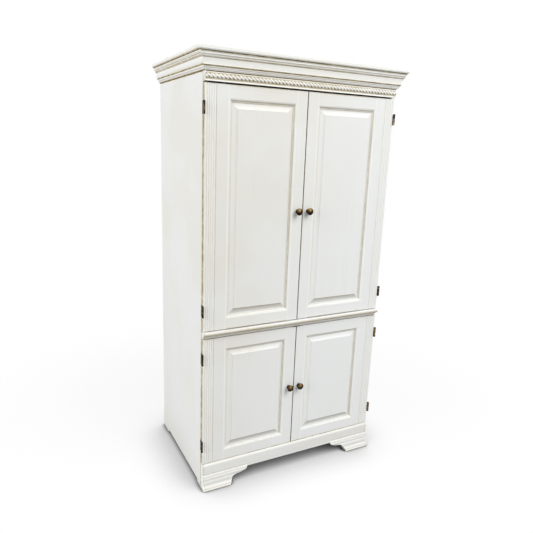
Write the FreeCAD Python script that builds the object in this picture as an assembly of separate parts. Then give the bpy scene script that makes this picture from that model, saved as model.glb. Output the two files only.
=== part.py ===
import FreeCAD
import Part
import math
import os

# Computer armoire: a tall painted cabinet with two upper and two lower raised-panel doors, a mitred
# crown, a rope moulding, a moulding between the doors and bracket feet. Inside are a desk deck, a
# monitor shelf, a keyboard tray, a supply drawer and a printer tray.
# Millimetres. +Z is up, the doors face -Y, left is -X, and the floor is z = 0.

# ---------------------------------------------------------------- driving dimensions
CABINET_WIDTH = 940.0          # over the outer faces of the two side panels
SIDE_DEPTH = 605.0             # side panel from its front edge to its back edge
SIDE_THICKNESS = 19.0
BOARD_THICKNESS = 19.0         # shelves, floor, roof, divider and partition
DECK_THICKNESS = 22.0
BACK_PANEL_THICKNESS = 6.0
BACK_RABBET_WIDTH = 10.0       # how far the back panels run into the side panels
DADO_DEPTH = 8.0               # how far fixed boards run into the side panels

APRON_BOTTOM = 64.0            # underside of the apron between the feet
BASE_TOP = 129.0               # top of the base rail and of the carcass floor
LOWER_DOOR_GAP = 2.2           # base rail to lower doors
LOWER_DOOR_HEIGHT = 612.3
MID_GAP = 4.3                  # lower doors to moulding, and moulding to upper doors
MID_MOULDING_HEIGHT = 30.0
UPPER_DOOR_HEIGHT = 1025.5
FRIEZE_GAP = 6.0               # upper doors to frieze
FRIEZE_HEIGHT = 38.4           # face of the frieze below the crown
CROWN_HEIGHT = 67.5            # crown moulding below the top board
CROWN_BEADS = (                # crown's foot, two beads and a lip: out from the frieze, height, swell
    (3.5, 0.0),
    (3.5, 2.5),
    (7.5, 8.5, -1.2),
    (8.5, 9.0),
    (12.0, 16.0, -1.5),
    (14.5, 17.0),
    (15.5, 22.0, -1.6),
)
CROWN_COVE_TOP = 21.5          # crown out from the frieze at the top of its cove and of its reeds
CROWN_REED_TOP = 31.0
CROWN_REED_HEIGHT = 22.0       # the reeds under the top board
CROWN_REED_COUNT = 3
TOP_BOARD_THICKNESS = 17.5
TOP_BOARD_OVERHANG = 39.0      # top board beyond the side panels and the frieze face
TOP_NOSE_LOWER = 7.9           # rounding of its lower and upper edge
TOP_NOSE_UPPER = 3.5

DOOR_THICKNESS = 19.0
DOOR_BACK_GAP = 1.5            # door back to the front edges of the side panels
DOOR_MEETING_GAP = 3.5         # between the two doors of a pair
HINGE_STILE_WIDTH = 104.0
LOCK_STILE_WIDTH = 52.5
UPPER_RAIL_WIDTH = 51.5        # top and bottom rails of the upper doors
LOWER_RAIL_WIDTH = 51.5        # top and bottom rails of the lower doors
REED_BAND_WIDTH = 49.5         # reeded band on the hinge stile
REED_COUNT = 5
REED_DEPTH = 1.4
QUIRK_WIDTH = 1.6              # plain groove between the reeds and the flat of the stile

STICKING_WIDTH = 15.0          # moulded inner edge of stiles and rails
STICKING_STEP = 1.5            # steps before and after its ovolo
STICKING_DEPTH = 7.7           # its inner edge behind the door face
OVOLO_WIDTH = 8.5
OVOLO_DEPTH = 5.0
GROOVE_BOTTOM = 6.0            # where the panel groove ends, measured like the sticking
GROOVE_FRONT = 9.5             # groove cheeks, depth behind the door face
GROOVE_BACK = 15.5
BEVEL_WIDTH = 24.0             # visible slope of the raised panel
BEVEL_HOLLOW = 1.5             # how far the middle of the slope is hollowed out
BEVEL_FACETS = 4
FIELD_DEPTH = 2.0              # raised field behind the door face
FIELD_STEP = 1.5               # step from the field down to the slope

KNOB_RADIUS = 16.0
KNOB_LENGTH = 28.0
KNOB_FOOT_RADIUS = 8.5
KNOB_WAIST_RADIUS = 6.0
KNOB_WAIST_LOW = 6.0           # places along the knob from the door: waist, rim and dome
KNOB_WAIST_HIGH = 11.0
KNOB_RIM_LOW = 19.5
KNOB_RIM_HIGH = 21.5
KNOB_DOME_RADIUS = 13.0
KNOB_DOME_LENGTH = 25.5
KNOB_TIP_RADIUS = 6.0          # flat at the end of the dome
KNOB_INSET = 26.2              # knob axis from the meeting edge of its door
KNOB_SCREW_RADIUS = 2.0
SCREW_HEAD_RADIUS = 4.5
SCREW_HEAD_HEIGHT = 2.5

HINGE_HEIGHT = 51.0
HINGE_END_DISTANCE = 92.0      # hinge centre from the end of its door
HINGE_AXIS_OUT = 4.0           # pin axis outside the edge of the door
HINGE_AXIS_FORWARD = 4.0       # pin axis in front of the door face
KNUCKLE_RADIUS = 4.5
PIN_RADIUS = 2.0
PIN_CLEARANCE = 0.05           # running clearance of the door knuckle on its pin
LEAF_THICKNESS = 1.4
LEAF_PLAY = 0.2                # between the two leaves of one hinge
LEAF_FOOT = 17.0               # foot of the cabinet leaf on the edge of the side panel
KNUCKLE_GAP = 0.3
KNUCKLE_SWING = 0.4            # room kept round a turning knuckle

FRIEZE_FORWARD = 6.0           # frieze face in front of the door face
ROPE_RADIUS = 9.5
ROPE_RELIEF = 6.0              # how far the rope stands out of the frieze
ROPE_PITCH = 17.0
ROPE_GROOVE_WIDTH = 4.6
ROPE_GROOVE_OPEN = 0.5         # that width is measured this far in front of the crest
ROPE_GROOVE_DEPTH = 3.0
ROPE_SLANT = 45.0              # degrees
ROPE_FILLET = 10.6             # flat strip of frieze below the rope

MID_BACK_RAIL_HEIGHT = 26.0    # rail under the desk deck
MID_NOSE = 16.0                # moulding in front of the door face
MID_COVE_HEIGHT = 15.0         # its cove, below a torus
MID_COVE_FOOT = 4.0            # cove's lower edge behind the door face
MID_COVE_SET = 6.0             # cove's upper edge behind the nose
MID_TORUS_SET = 3.0            # torus behind the nose at its lower edge
MID_BEAD_HEIGHT = 4.0
MID_BEAD_SET = 7.0             # bead behind the nose at its lower edge
APRON_FORWARD = 5.0            # apron in front of the door face
LEDGE_HEIGHT = 10.5            # slope along the top of the apron
LEDGE_SET = 3.0                # top of the slope behind the door face

FOOT_LENGTH = 134.0            # bracket foot along the front at the floor
FOOT_WING = 227.0              # bracket foot along the front at its top
FOOT_TOP = 77.0
FOOT_FORWARD = 25.0            # toe of the foot in front of the door face
FOOT_SCROLL = (                # from the toe inwards: along, height and swell of the arc that ends there
    (7.0, 17.0),
    (40.0, 37.0, 6.0),
    (83.0, 50.0, -3.5),
    (93.0, 61.0, -3.0),
)
FOOT_MOULDING = (              # from the toe up: back from its face, height and swell
    (0.0, 5.0),
    (1.0, 13.0, 1.5),
    (3.0, 14.0),
    (21.0, 40.0, -2.5),
    (18.0, 62.0, 1.5),
    (16.0, 63.0),
    (16.0, 70.0, 1.5),
    (20.0, FOOT_TOP, 1.5),
)
REAR_FOOT_LENGTH = 90.0
SIDE_RELIEF_HEIGHT = 14.0      # cut-out under the side panel between the feet
SIDE_RELIEF_FRONT = 42.0       # solid length of the side panel behind the front foot

UPPER_SHELF_HEIGHT = 1400.0    # top faces of the adjustable shelves
LOWER_SHELF_HEIGHT = 600.0
SHELF_PLAY = 1.0               # each end of an adjustable shelf
SHELF_DEPTH = 420.0
SHELF_PIN_RADIUS = 2.5
SHELF_PIN_BORE = 9.0           # depth of a pin hole
SHELF_PIN_REACH = 10.0         # pin standing out under the shelf
SHELF_PIN_INSET = 50.0         # pin from the front and back edges of the shelf

BAND_HEIGHT = 100.0            # clear height between desk deck and monitor shelf
PULLOUT_SETBACK = 50.0         # front of every pull-out behind the backs of the doors
SLIDE_WIDTH = 12.7
SLIDE_HEIGHT = 35.0
SLIDE_METAL = 1.2
SLIDE_PLAY = 0.4
SLIDE_SETBACK = 20.0           # moving slide member behind the front of its pull-out
TRAY_BOARD = 16.0
TRAY_SIDE = 12.0
TRAY_SIDE_HEIGHT = 42.0
KEYBOARD_TRAY_DEPTH = 340.0
KEYBOARD_TRAY_RISE = 20.0      # underside of the tray above the desk deck
PRINTER_TRAY_DEPTH = 450.0
PRINTER_TRAY_HEIGHT = 430.0    # underside of the printer tray above the floor
DRAWER_DEPTH = 400.0
DRAWER_FRONT_GAP = 3.0         # round the drawer front
DRAWER_SIDE_HEIGHT = 70.0
DRAWER_BOTTOM_THICKNESS = 6.0
DRAWER_BOTTOM_RISE = 12.0      # drawer bottom above the lower edge of the front
PULL_WIDTH = 110.0             # finger scoop in the drawer front
PULL_DEPTH = 22.0

CATCH_LENGTH = 46.0
CATCH_HEIGHT = 15.0
CATCH_DEPTH = 24.0
CATCH_OFFSET = 60.0            # catch centre from the middle of the cabinet
CATCH_GAP = 0.3                # magnet to strike plate
STRIKE_THICKNESS = 1.0
STRIKE_HEIGHT = 12.0

PORT_RADIUS = 32.0             # cable port hole
GROMMET_WALL = 3.0
GROMMET_FLANGE = 5.0
GROMMET_LIP = 2.0
UPPER_PORT_CLEARANCE = 46.0    # monitor shelf to the flanges of the upper ports
UPPER_PORT_SPREAD = 300.0      # upper ports from the middle of the cabinet
LOWER_PORT_CLEARANCE = 134.0   # carcass floor to the flange of the lower port

# ---------------------------------------------------------------- places worked out from them
HALF_WIDTH = CABINET_WIDTH / 2
INNER_X = HALF_WIDTH - SIDE_THICKNESS
CROWN_FORWARD = FRIEZE_FORWARD + TOP_BOARD_OVERHANG
TOTAL_DEPTH = CROWN_FORWARD + DOOR_THICKNESS + DOOR_BACK_GAP + SIDE_DEPTH
DOOR_FRONT = CROWN_FORWARD - TOTAL_DEPTH / 2
DOOR_BACK = DOOR_FRONT + DOOR_THICKNESS
SIDE_FRONT = DOOR_BACK + DOOR_BACK_GAP
SIDE_BACK = SIDE_FRONT + SIDE_DEPTH
BACK_PANEL_FRONT = SIDE_BACK - BACK_PANEL_THICKNESS
FRIEZE_FACE = DOOR_FRONT - FRIEZE_FORWARD

LOWER_DOOR_BOTTOM = BASE_TOP + LOWER_DOOR_GAP
LOWER_DOOR_TOP = LOWER_DOOR_BOTTOM + LOWER_DOOR_HEIGHT
MID_BOTTOM = LOWER_DOOR_TOP + MID_GAP
DECK_TOP = MID_BOTTOM + MID_MOULDING_HEIGHT
DECK_BOTTOM = DECK_TOP - DECK_THICKNESS
UPPER_DOOR_BOTTOM = DECK_TOP + MID_GAP
UPPER_DOOR_TOP = UPPER_DOOR_BOTTOM + UPPER_DOOR_HEIGHT
ROOF_BOTTOM = UPPER_DOOR_TOP + FRIEZE_GAP
CROWN_BOTTOM = ROOF_BOTTOM + FRIEZE_HEIGHT
CROWN_TOP = CROWN_BOTTOM + CROWN_HEIGHT
CABINET_TOP = CROWN_TOP + TOP_BOARD_THICKNESS

MONITOR_SHELF_BOTTOM = DECK_TOP + BAND_HEIGHT
MONITOR_SHELF_TOP = MONITOR_SHELF_BOTTOM + BOARD_THICKNESS
DIVIDER_FACE = BOARD_THICKNESS / 2
MID_RAIL_BOTTOM = DECK_BOTTOM - MID_BACK_RAIL_HEIGHT
PULLOUT_FRONT = DOOR_BACK + PULLOUT_SETBACK
SLIDE_FRONT = PULLOUT_FRONT + SLIDE_SETBACK
HINGE_X = HALF_WIDTH + HINGE_AXIS_OUT
HINGE_Y = DOOR_FRONT - HINGE_AXIS_FORWARD
DOOR_INNER_X = DOOR_MEETING_GAP / 2

UP = FreeCAD.Vector(0, 0, 1)
TO_BACK = FreeCAD.Vector(0, 1, 0)
TO_RIGHT = FreeCAD.Vector(1, 0, 0)
ORIGIN = FreeCAD.Vector(0, 0, 0)
BEYOND = 20.0                  # how far a cutting tool reaches past the stock
TOUCH = 0.01                   # two places nearer than this are the same


# ---------------------------------------------------------------- shape helpers
def box(x_range, y_range, z_range):
    """A board given by its low and high limits along each axis."""
    low = FreeCAD.Vector(x_range[0], y_range[0], z_range[0])
    return Part.makeBox(
        x_range[1] - x_range[0], y_range[1] - y_range[0], z_range[1] - z_range[0], low)


def outline_face(steps, place):
    """A face from a closed outline.

    Each step is a point, or a pair of points: a point on an arc and the arc's end.
    place turns an outline point into a vector.
    """
    edges = []
    here = steps[0]
    for step in steps[1:] + steps[:1]:
        if isinstance(step[0], tuple):
            middle, end = step
            edges.append(Part.Arc(place(here), place(middle), place(end)).toShape())
            here = end
        else:
            edges.append(Part.LineSegment(place(here), place(step)).toShape())
            here = step
    return Part.Face(Part.Wire(edges))


def bulge(start, end, height):
    """An arc step from start to end that swells by height to the left of its way."""
    run = (end[0] - start[0], end[1] - start[1])
    length = math.hypot(run[0], run[1])
    middle = (
        (start[0] + end[0]) / 2 - run[1] / length * height,
        (start[1] + end[1]) / 2 + run[0] / length * height)
    return (middle, end)


def profile(*points):
    """Outline steps from (x, y) and (x, y, swell) points: an arc leads to a point that has a swell."""
    steps = []
    here = points[0]
    for point in points:
        end = point[:2]
        steps.append(bulge(here, end, point[2]) if len(point) > 2 else end)
        here = end
    return steps


def side_outline(x, steps):
    """A face in the plane X = x, from (y, z) points."""
    return outline_face(steps, lambda p: FreeCAD.Vector(x, p[0], p[1]))


def front_outline(y, steps):
    """A face in the plane Y = y, from (x, z) points."""
    return outline_face(steps, lambda p: FreeCAD.Vector(p[0], y, p[1]))


def plan_outline(z, steps):
    """A face in the plane Z = z, from (x, y) points."""
    return outline_face(steps, lambda p: FreeCAD.Vector(p[0], p[1], z))


def extrude(face, direction, length):
    return face.extrude(FreeCAD.Vector(direction) * length)


def cylinder(centre, direction, radius, length):
    return Part.makeCylinder(radius, length, FreeCAD.Vector(*centre), direction)


def joined(first, *others):
    """One solid from touching or overlapping shapes, without the seams between them."""
    return first.fuse(list(others)).removeSplitter()


def mirrored(shape):
    """The same piece for the other side of the cabinet."""
    return shape.mirror(ORIGIN, TO_RIGHT)


def group(shapes):
    return Part.makeCompound(shapes)


# ---------------------------------------------------------------- carcass boards
def shelf_pin_places():
    """(x of the wall face, way into the wall, y, z) of each shelf pin's axis."""
    places = []
    shelves = (
        (-INNER_X, INNER_X, UPPER_SHELF_HEIGHT),
        (-INNER_X, -DIVIDER_FACE, LOWER_SHELF_HEIGHT))
    back = BACK_PANEL_FRONT - SHELF_PIN_INSET
    front = BACK_PANEL_FRONT - SHELF_DEPTH + SHELF_PIN_INSET
    for left, right, height in shelves:
        z = height - BOARD_THICKNESS - SHELF_PIN_RADIUS
        for y in (front, back):
            places.append((left, -1, y, z))
            places.append((right, 1, y, z))
    return places


def shelf_pin_bores(wall_x):
    """Pin holes in the wall face at wall_x."""
    return [cylinder((x, y, z), TO_RIGHT * way, SHELF_PIN_RADIUS, SHELF_PIN_BORE)
            for x, way, y, z in shelf_pin_places() if x == wall_x]


def shelf_pins():
    pins = []
    for x, way, y, z in shelf_pin_places():
        start = (x - way * SHELF_PIN_REACH, y, z)
        pins.append(cylinder(start, TO_RIGHT * way, SHELF_PIN_RADIUS,
                             SHELF_PIN_REACH + SHELF_PIN_BORE))
    return group(pins)


def fixed_board(bottom, top):
    """A full-width board whose ends sit in the dados of the side panels."""
    reach = INNER_X + DADO_DEPTH
    return box((-reach, reach), (SIDE_FRONT, BACK_PANEL_FRONT), (bottom, top))


def fixed_boards():
    return {
        "carcass_floor": fixed_board(BASE_TOP - BOARD_THICKNESS, BASE_TOP),
        "desk_deck": fixed_board(DECK_BOTTOM, DECK_TOP),
        "monitor_shelf": fixed_board(MONITOR_SHELF_BOTTOM, MONITOR_SHELF_TOP),
        "carcass_roof": fixed_board(ROOF_BOTTOM, ROOF_BOTTOM + BOARD_THICKNESS),
    }


def side_panel(face_x, way):
    """Side panel with dados, a rabbet for the back panels, pin holes and a foot at each end.

    face_x is the inner face, and way points from it to the outside.
    """
    relief_front = SIDE_FRONT + SIDE_RELIEF_FRONT
    relief_back = SIDE_BACK - REAR_FOOT_LENGTH
    slant = SIDE_RELIEF_HEIGHT
    outline = [
        (SIDE_FRONT, 0),
        (relief_front, 0),
        bulge((relief_front, 0), (relief_front + slant, SIDE_RELIEF_HEIGHT), 3.0),
        (relief_back - slant, SIDE_RELIEF_HEIGHT),
        bulge((relief_back - slant, SIDE_RELIEF_HEIGHT), (relief_back, 0), 3.0),
        (SIDE_BACK, 0),
        (SIDE_BACK, CROWN_TOP),
        (SIDE_FRONT, CROWN_TOP),
    ]
    panel = extrude(side_outline(face_x, outline), TO_RIGHT * way, SIDE_THICKNESS)
    rabbet = box(sorted((face_x, face_x + way * BACK_RABBET_WIDTH)), (BACK_PANEL_FRONT, SIDE_BACK),
                 (BASE_TOP - BOARD_THICKNESS, CROWN_TOP))
    cuts = [rabbet] + list(fixed_boards().values()) + shelf_pin_bores(face_x)
    return panel.cut(cuts)


def lower_partition():
    """Upright between the lower bays, notched round the rail under the desk deck."""
    board = box((-DIVIDER_FACE, DIVIDER_FACE), (SIDE_FRONT, BACK_PANEL_FRONT),
                (BASE_TOP, DECK_BOTTOM))
    return board.cut([mid_rail()] + shelf_pin_bores(-DIVIDER_FACE))


def tray_divider():
    return box((-DIVIDER_FACE, DIVIDER_FACE), (SIDE_FRONT, BACK_PANEL_FRONT),
               (DECK_TOP, MONITOR_SHELF_BOTTOM))


def adjustable_shelf(left, right, top):
    front = BACK_PANEL_FRONT - SHELF_DEPTH
    board = box((left + SHELF_PLAY, right - SHELF_PLAY), (front, BACK_PANEL_FRONT),
                (top - BOARD_THICKNESS, top))
    nose = [edge for edge in board.Edges
            if abs(edge.CenterOfMass.y - front) < TOUCH and edge.Length > SHELF_DEPTH / 2]
    return board.makeFillet(BOARD_THICKNESS / 4, nose)


def port_places():
    """Centres (x, z) of the cable ports: two above the monitor shelf and one in the left bay."""
    flange = PORT_RADIUS + GROMMET_FLANGE
    upper = MONITOR_SHELF_TOP + UPPER_PORT_CLEARANCE + flange
    lower = BASE_TOP + LOWER_PORT_CLEARANCE + flange
    left_bay_middle = (-INNER_X - DIVIDER_FACE) / 2
    return ((-UPPER_PORT_SPREAD, upper), (UPPER_PORT_SPREAD, upper), (left_bay_middle, lower))


def back_panel(bottom, top):
    reach = INNER_X + BACK_RABBET_WIDTH
    panel = box((-reach, reach), (BACK_PANEL_FRONT, SIDE_BACK), (bottom, top))
    ports = [cylinder((x, BACK_PANEL_FRONT - BEYOND, z), TO_BACK, PORT_RADIUS,
                      BACK_PANEL_THICKNESS + 2 * BEYOND)
             for x, z in port_places() if bottom < z < top]
    return panel.cut(ports)


def cable_grommets():
    """A flanged ring pushed into each cable port from inside."""
    rings = []
    for x, z in port_places():
        sleeve = cylinder((x, BACK_PANEL_FRONT, z), TO_BACK, PORT_RADIUS, BACK_PANEL_THICKNESS)
        flange = cylinder((x, BACK_PANEL_FRONT - GROMMET_LIP, z), TO_BACK,
                          PORT_RADIUS + GROMMET_FLANGE, GROMMET_LIP)
        hole = cylinder((x, BACK_PANEL_FRONT - BEYOND, z), TO_BACK, PORT_RADIUS - GROMMET_WALL,
                        BACK_PANEL_THICKNESS + 2 * BEYOND)
        rings.append(joined(sleeve, flange).cut(hole))
    return group(rings)


# ---------------------------------------------------------------- front frame and mouldings
def frieze_rail():
    return box((-HALF_WIDTH, HALF_WIDTH), (FRIEZE_FACE, SIDE_FRONT), (ROOF_BOTTOM, CROWN_TOP))


def rope_moulding():
    """Part-round rod on the frieze, cut by slanting grooves into a twisted rope."""
    centre_z = ROOF_BOTTOM + ROPE_FILLET + ROPE_RADIUS
    centre_y = FRIEZE_FACE - ROPE_RELIEF + ROPE_RADIUS
    rod = cylinder((-HALF_WIDTH, centre_y, centre_z), TO_RIGHT, ROPE_RADIUS, CABINET_WIDTH)
    relief = box((-HALF_WIDTH, HALF_WIDTH), (FRIEZE_FACE - ROPE_RELIEF - BEYOND, FRIEZE_FACE),
                 (centre_z - ROPE_RADIUS, centre_z + ROPE_RADIUS))
    rod = rod.common(relief)
    crest = FRIEZE_FACE - ROPE_RELIEF
    mouth = crest - ROPE_GROOVE_OPEN
    reach = ROPE_RADIUS * 2
    grooves = []
    count = round(CABINET_WIDTH / ROPE_PITCH)
    pitch = CABINET_WIDTH / count
    for index in range(count):
        x = -HALF_WIDTH + (index + 0.5) * pitch
        wedge = plan_outline(centre_z - reach, [
            (x - ROPE_GROOVE_WIDTH / 2, mouth),
            (x + ROPE_GROOVE_WIDTH / 2, mouth),
            (x, crest + ROPE_GROOVE_DEPTH)])
        groove = extrude(wedge, UP, 2 * reach)
        groove.rotate(FreeCAD.Vector(x, crest, centre_z), TO_BACK, -ROPE_SLANT)
        grooves.append(groove)
    return rod.cut(grooves)


def mid_rail():
    return box((-INNER_X, INNER_X), (SIDE_FRONT, SIDE_FRONT + BOARD_THICKNESS),
               (MID_RAIL_BOTTOM, DECK_BOTTOM))


def mid_moulding():
    """Nosing between the upper and lower doors: fillet, bead, torus and a long cove."""
    nose = DOOR_FRONT - MID_NOSE
    cove_top = MID_BOTTOM + MID_COVE_HEIGHT
    bead_low = DECK_TOP - MID_BEAD_HEIGHT
    outline = profile(
        (SIDE_FRONT, MID_BOTTOM),
        (DOOR_FRONT + MID_COVE_FOOT, MID_BOTTOM),
        (nose + MID_COVE_SET, cove_top, -3.0),
        (nose + MID_TORUS_SET, cove_top + 1),
        (nose + MID_TORUS_SET + 1, bead_low, 4.0),
        (nose + MID_BEAD_SET, bead_low),
        (nose + MID_BEAD_SET + MID_BEAD_HEIGHT, DECK_TOP, 1.2),
        (SIDE_FRONT, DECK_TOP))
    return extrude(side_outline(-HALF_WIDTH, outline), TO_RIGHT, CABINET_WIDTH)


def base_rail():
    """Apron with a sloping ledge, notched at both ends for the bracket feet."""
    face = DOOR_FRONT - APRON_FORWARD
    ledge = BASE_TOP - LEDGE_HEIGHT
    outline = profile(
        (SIDE_FRONT, APRON_BOTTOM),
        (face, APRON_BOTTOM),
        (face, ledge),
        (DOOR_FRONT + LEDGE_SET, BASE_TOP, 1.0),
        (SIDE_FRONT, BASE_TOP))
    rail = extrude(side_outline(-HALF_WIDTH, outline), TO_RIGHT, CABINET_WIDTH)
    notches = [box(limits, (face - BEYOND, SIDE_FRONT + BEYOND), (0, FOOT_TOP))
               for limits in ((-HALF_WIDTH - BEYOND, -HALF_WIDTH + FOOT_WING),
                              (HALF_WIDTH - FOOT_WING, HALF_WIDTH + BEYOND))]
    return rail.cut(notches)


def left_bracket_foot():
    """Ogee foot: the scrolled front outline crossed with the moulded side outline."""
    toe = -HALF_WIDTH + FOOT_LENGTH
    face = DOOR_FRONT - FOOT_FORWARD
    scroll = profile(
        (-HALF_WIDTH, 0),
        (toe, 0),
        *[(toe + along, *rest) for along, *rest in FOOT_SCROLL],
        (-HALF_WIDTH + FOOT_WING, FOOT_TOP),
        (-HALF_WIDTH, FOOT_TOP))
    moulding = profile(
        (SIDE_FRONT, 0),
        (face, 0),
        *[(face + back, *rest) for back, *rest in FOOT_MOULDING],
        (SIDE_FRONT, FOOT_TOP))
    front = extrude(front_outline(face - BEYOND, scroll), TO_BACK, SIDE_FRONT - face + BEYOND)
    side = extrude(side_outline(-HALF_WIDTH, moulding), TO_RIGHT, FOOT_WING)
    return front.common(side)


def crown_profile(place):
    """Crown moulding section: two beads, a lipped cove and three reeds, as (outward, z) points."""
    reed_low = CROWN_TOP - CROWN_REED_HEIGHT
    rise = CROWN_REED_HEIGHT / CROWN_REED_COUNT
    lean = (CROWN_REED_TOP - CROWN_COVE_TOP) / CROWN_REED_COUNT
    outline = profile(
        (0, CROWN_BOTTOM),
        *[(out, CROWN_BOTTOM + height, *swell) for out, height, *swell in CROWN_BEADS],
        (CROWN_COVE_TOP, reed_low, 2.6),
        *[(CROWN_COVE_TOP + lean * index, reed_low + rise * index, -1.8)
          for index in range(1, CROWN_REED_COUNT + 1)],
        (0, CROWN_TOP))
    return outline_face(outline, place)


def mitre_wedge(corner, along, outward, low, high):
    """Prism that trims a moulding to a mitre at a corner of the cabinet.

    It removes what lies beyond the diagonal that leaves the corner along + outward.
    """
    reach = 4 * TOP_BOARD_OVERHANG
    diagonal = along + outward
    start = FreeCAD.Vector(corner[0], corner[1], low)
    points = [start - diagonal * reach, start + diagonal * reach,
              start + diagonal * reach + along * 2 * reach,
              start - diagonal * reach + along * 2 * reach]
    face = Part.Face(Part.makePolygon(points + points[:1]))
    return face.extrude(UP * (high - low))


def front_crown():
    """Crown along the frieze, mitred at both ends."""
    spread = HALF_WIDTH + TOP_BOARD_OVERHANG
    face = crown_profile(lambda p: FreeCAD.Vector(-spread, FRIEZE_FACE - p[0], p[1]))
    moulding = extrude(face, TO_RIGHT, 2 * spread)
    limits = (CROWN_BOTTOM - BEYOND, CROWN_TOP + BEYOND)
    right = mitre_wedge((HALF_WIDTH, FRIEZE_FACE), TO_RIGHT, TO_BACK * -1, *limits)
    left = mitre_wedge((-HALF_WIDTH, FRIEZE_FACE), TO_RIGHT * -1, TO_BACK * -1, *limits)
    return moulding.cut([left, right])


def left_crown():
    """Crown along the side panel, mitred at the front and square at the back."""
    start = FRIEZE_FACE - TOP_BOARD_OVERHANG
    face = crown_profile(lambda p: FreeCAD.Vector(-HALF_WIDTH - p[0], start, p[1]))
    moulding = extrude(face, TO_BACK, SIDE_BACK - start)
    wedge = mitre_wedge((-HALF_WIDTH, FRIEZE_FACE), TO_BACK * -1, TO_RIGHT * -1,
                        CROWN_BOTTOM - BEYOND, CROWN_TOP + BEYOND)
    return moulding.cut(wedge)


def top_board():
    """Top board with a rounded edge on the front and both ends, flush at the back."""
    spread = HALF_WIDTH + TOP_BOARD_OVERHANG
    front = FRIEZE_FACE - TOP_BOARD_OVERHANG
    board = box((-spread, spread), (front, SIDE_BACK), (CROWN_TOP, CABINET_TOP))

    for height, radius in ((CROWN_TOP, TOP_NOSE_LOWER), (CABINET_TOP, TOP_NOSE_UPPER)):
        rim = [edge for edge in board.Edges
               if abs(edge.CenterOfMass.z - height) < TOUCH
               and edge.CenterOfMass.y < SIDE_BACK - TOUCH]
        board = board.makeFillet(radius, rim)
    return board


# ---------------------------------------------------------------- doors
def door_frame_section():
    """Moulded inner edge of the door frame as (inward, depth) points, with its panel groove."""
    return profile(
        (0, STICKING_STEP),
        (OVOLO_WIDTH, OVOLO_DEPTH, -1.3),
        (OVOLO_WIDTH, OVOLO_DEPTH + STICKING_STEP),
        (STICKING_WIDTH, STICKING_DEPTH),
        (STICKING_WIDTH, GROOVE_FRONT),
        (GROOVE_BOTTOM, GROOVE_FRONT),
        (GROOVE_BOTTOM, GROOVE_BACK),
        (STICKING_WIDTH, GROOVE_BACK),
        (STICKING_WIDTH, DOOR_THICKNESS),
        (0, DOOR_THICKNESS))


def sticking(start, along, inward, length):
    """Moulded edge along one side of the door opening, mitred at both ends.

    start is the corner of the opening on the door face; along and inward are unit vectors.
    """
    face = outline_face(door_frame_section(), lambda p: start + inward * p[0] + TO_BACK * p[1])
    strip = face.extrude(along * length)
    cuts = []
    for corner, way in ((start, along), (start + along * length, along * -1)):
        reach = 2 * STICKING_WIDTH
        near = corner - TO_BACK * BEYOND
        points = [near, near + (way + inward) * reach, near + (inward - way) * reach]
        wedge = Part.Face(Part.makePolygon(points + points[:1]))
        cuts.append(wedge.extrude(TO_BACK * (DOOR_THICKNESS + 2 * BEYOND)))
    return strip.cut(cuts)


def hinge_stile(edge_x, bottom, top):
    """Full-height stile whose outer part is worked into reeds."""
    flat_x = edge_x - HINGE_STILE_WIDTH
    quirk_x = edge_x - REED_BAND_WIDTH - QUIRK_WIDTH / 2
    first_x = quirk_x + QUIRK_WIDTH
    valley = DOOR_FRONT + REED_DEPTH
    outline = [
        (edge_x, DOOR_BACK),
        (flat_x, DOOR_BACK),
        (flat_x, DOOR_FRONT),
        (quirk_x, DOOR_FRONT),
        (quirk_x, valley),
        (first_x, valley),
    ]
    pitch = (edge_x - first_x) / REED_COUNT
    for index in range(REED_COUNT):
        crest = (first_x + (index + 0.5) * pitch, DOOR_FRONT)
        outline.append((crest, (first_x + (index + 1) * pitch, valley)))
    return extrude(plan_outline(bottom, outline), UP, top - bottom)


def raised_panel(left, right, bottom, top):
    """Panel with a raised field, a hollowed slope and a tongue that sits in the frame's groove."""
    face = DOOR_FRONT

    def rectangle(inset, depth):
        y = face + depth
        corners = [(left + inset, bottom + inset), (right - inset, bottom + inset),
                   (right - inset, top - inset), (left + inset, top - inset)]
        points = [FreeCAD.Vector(x, y, z) for x, z in corners]
        return Part.makePolygon(points + points[:1])

    field = STICKING_WIDTH + BEVEL_WIDTH
    tongue = box((left + GROOVE_BOTTOM, right - GROOVE_BOTTOM),
                 (face + GROOVE_FRONT, face + GROOVE_BACK),
                 (bottom + GROOVE_BOTTOM, top - GROOVE_BOTTOM))
    rise = GROOVE_FRONT - FIELD_DEPTH - FIELD_STEP
    rings = []
    for facet in range(BEVEL_FACETS + 1):
        share = facet / BEVEL_FACETS
        hollow = 4 * BEVEL_HOLLOW * share * (1 - share)
        rings.append(rectangle(STICKING_WIDTH + BEVEL_WIDTH * share, GROOVE_FRONT - rise * share + hollow))
    slope = Part.makeLoft(rings, True, True)
    raised = box((left + field, right - field), (face + FIELD_DEPTH, face + GROOVE_FRONT),
                 (bottom + field, top - field))
    return joined(tongue, slope, raised)


def turned(x, z, outline):
    """A solid of revolution about a line square to the door face, from (radius, forward) points."""
    face = outline_face(outline, lambda p: FreeCAD.Vector(x + p[0], DOOR_FRONT - p[1], z))
    return face.revolve(FreeCAD.Vector(x, DOOR_FRONT, z), TO_BACK, 360)


def knob_solid(x, z):
    """Mushroom knob: a foot, a waist and a domed head, all in plain tapers."""
    return turned(x, z, [
        (0, 0),
        (KNOB_FOOT_RADIUS, 0),
        (KNOB_WAIST_RADIUS, KNOB_WAIST_LOW),
        (KNOB_WAIST_RADIUS, KNOB_WAIST_HIGH),
        (KNOB_RADIUS, KNOB_RIM_LOW),
        (KNOB_RADIUS, KNOB_RIM_HIGH),
        (KNOB_DOME_RADIUS, KNOB_DOME_LENGTH),
        (KNOB_TIP_RADIUS, KNOB_LENGTH),
        (0, KNOB_LENGTH),
    ])


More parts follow.
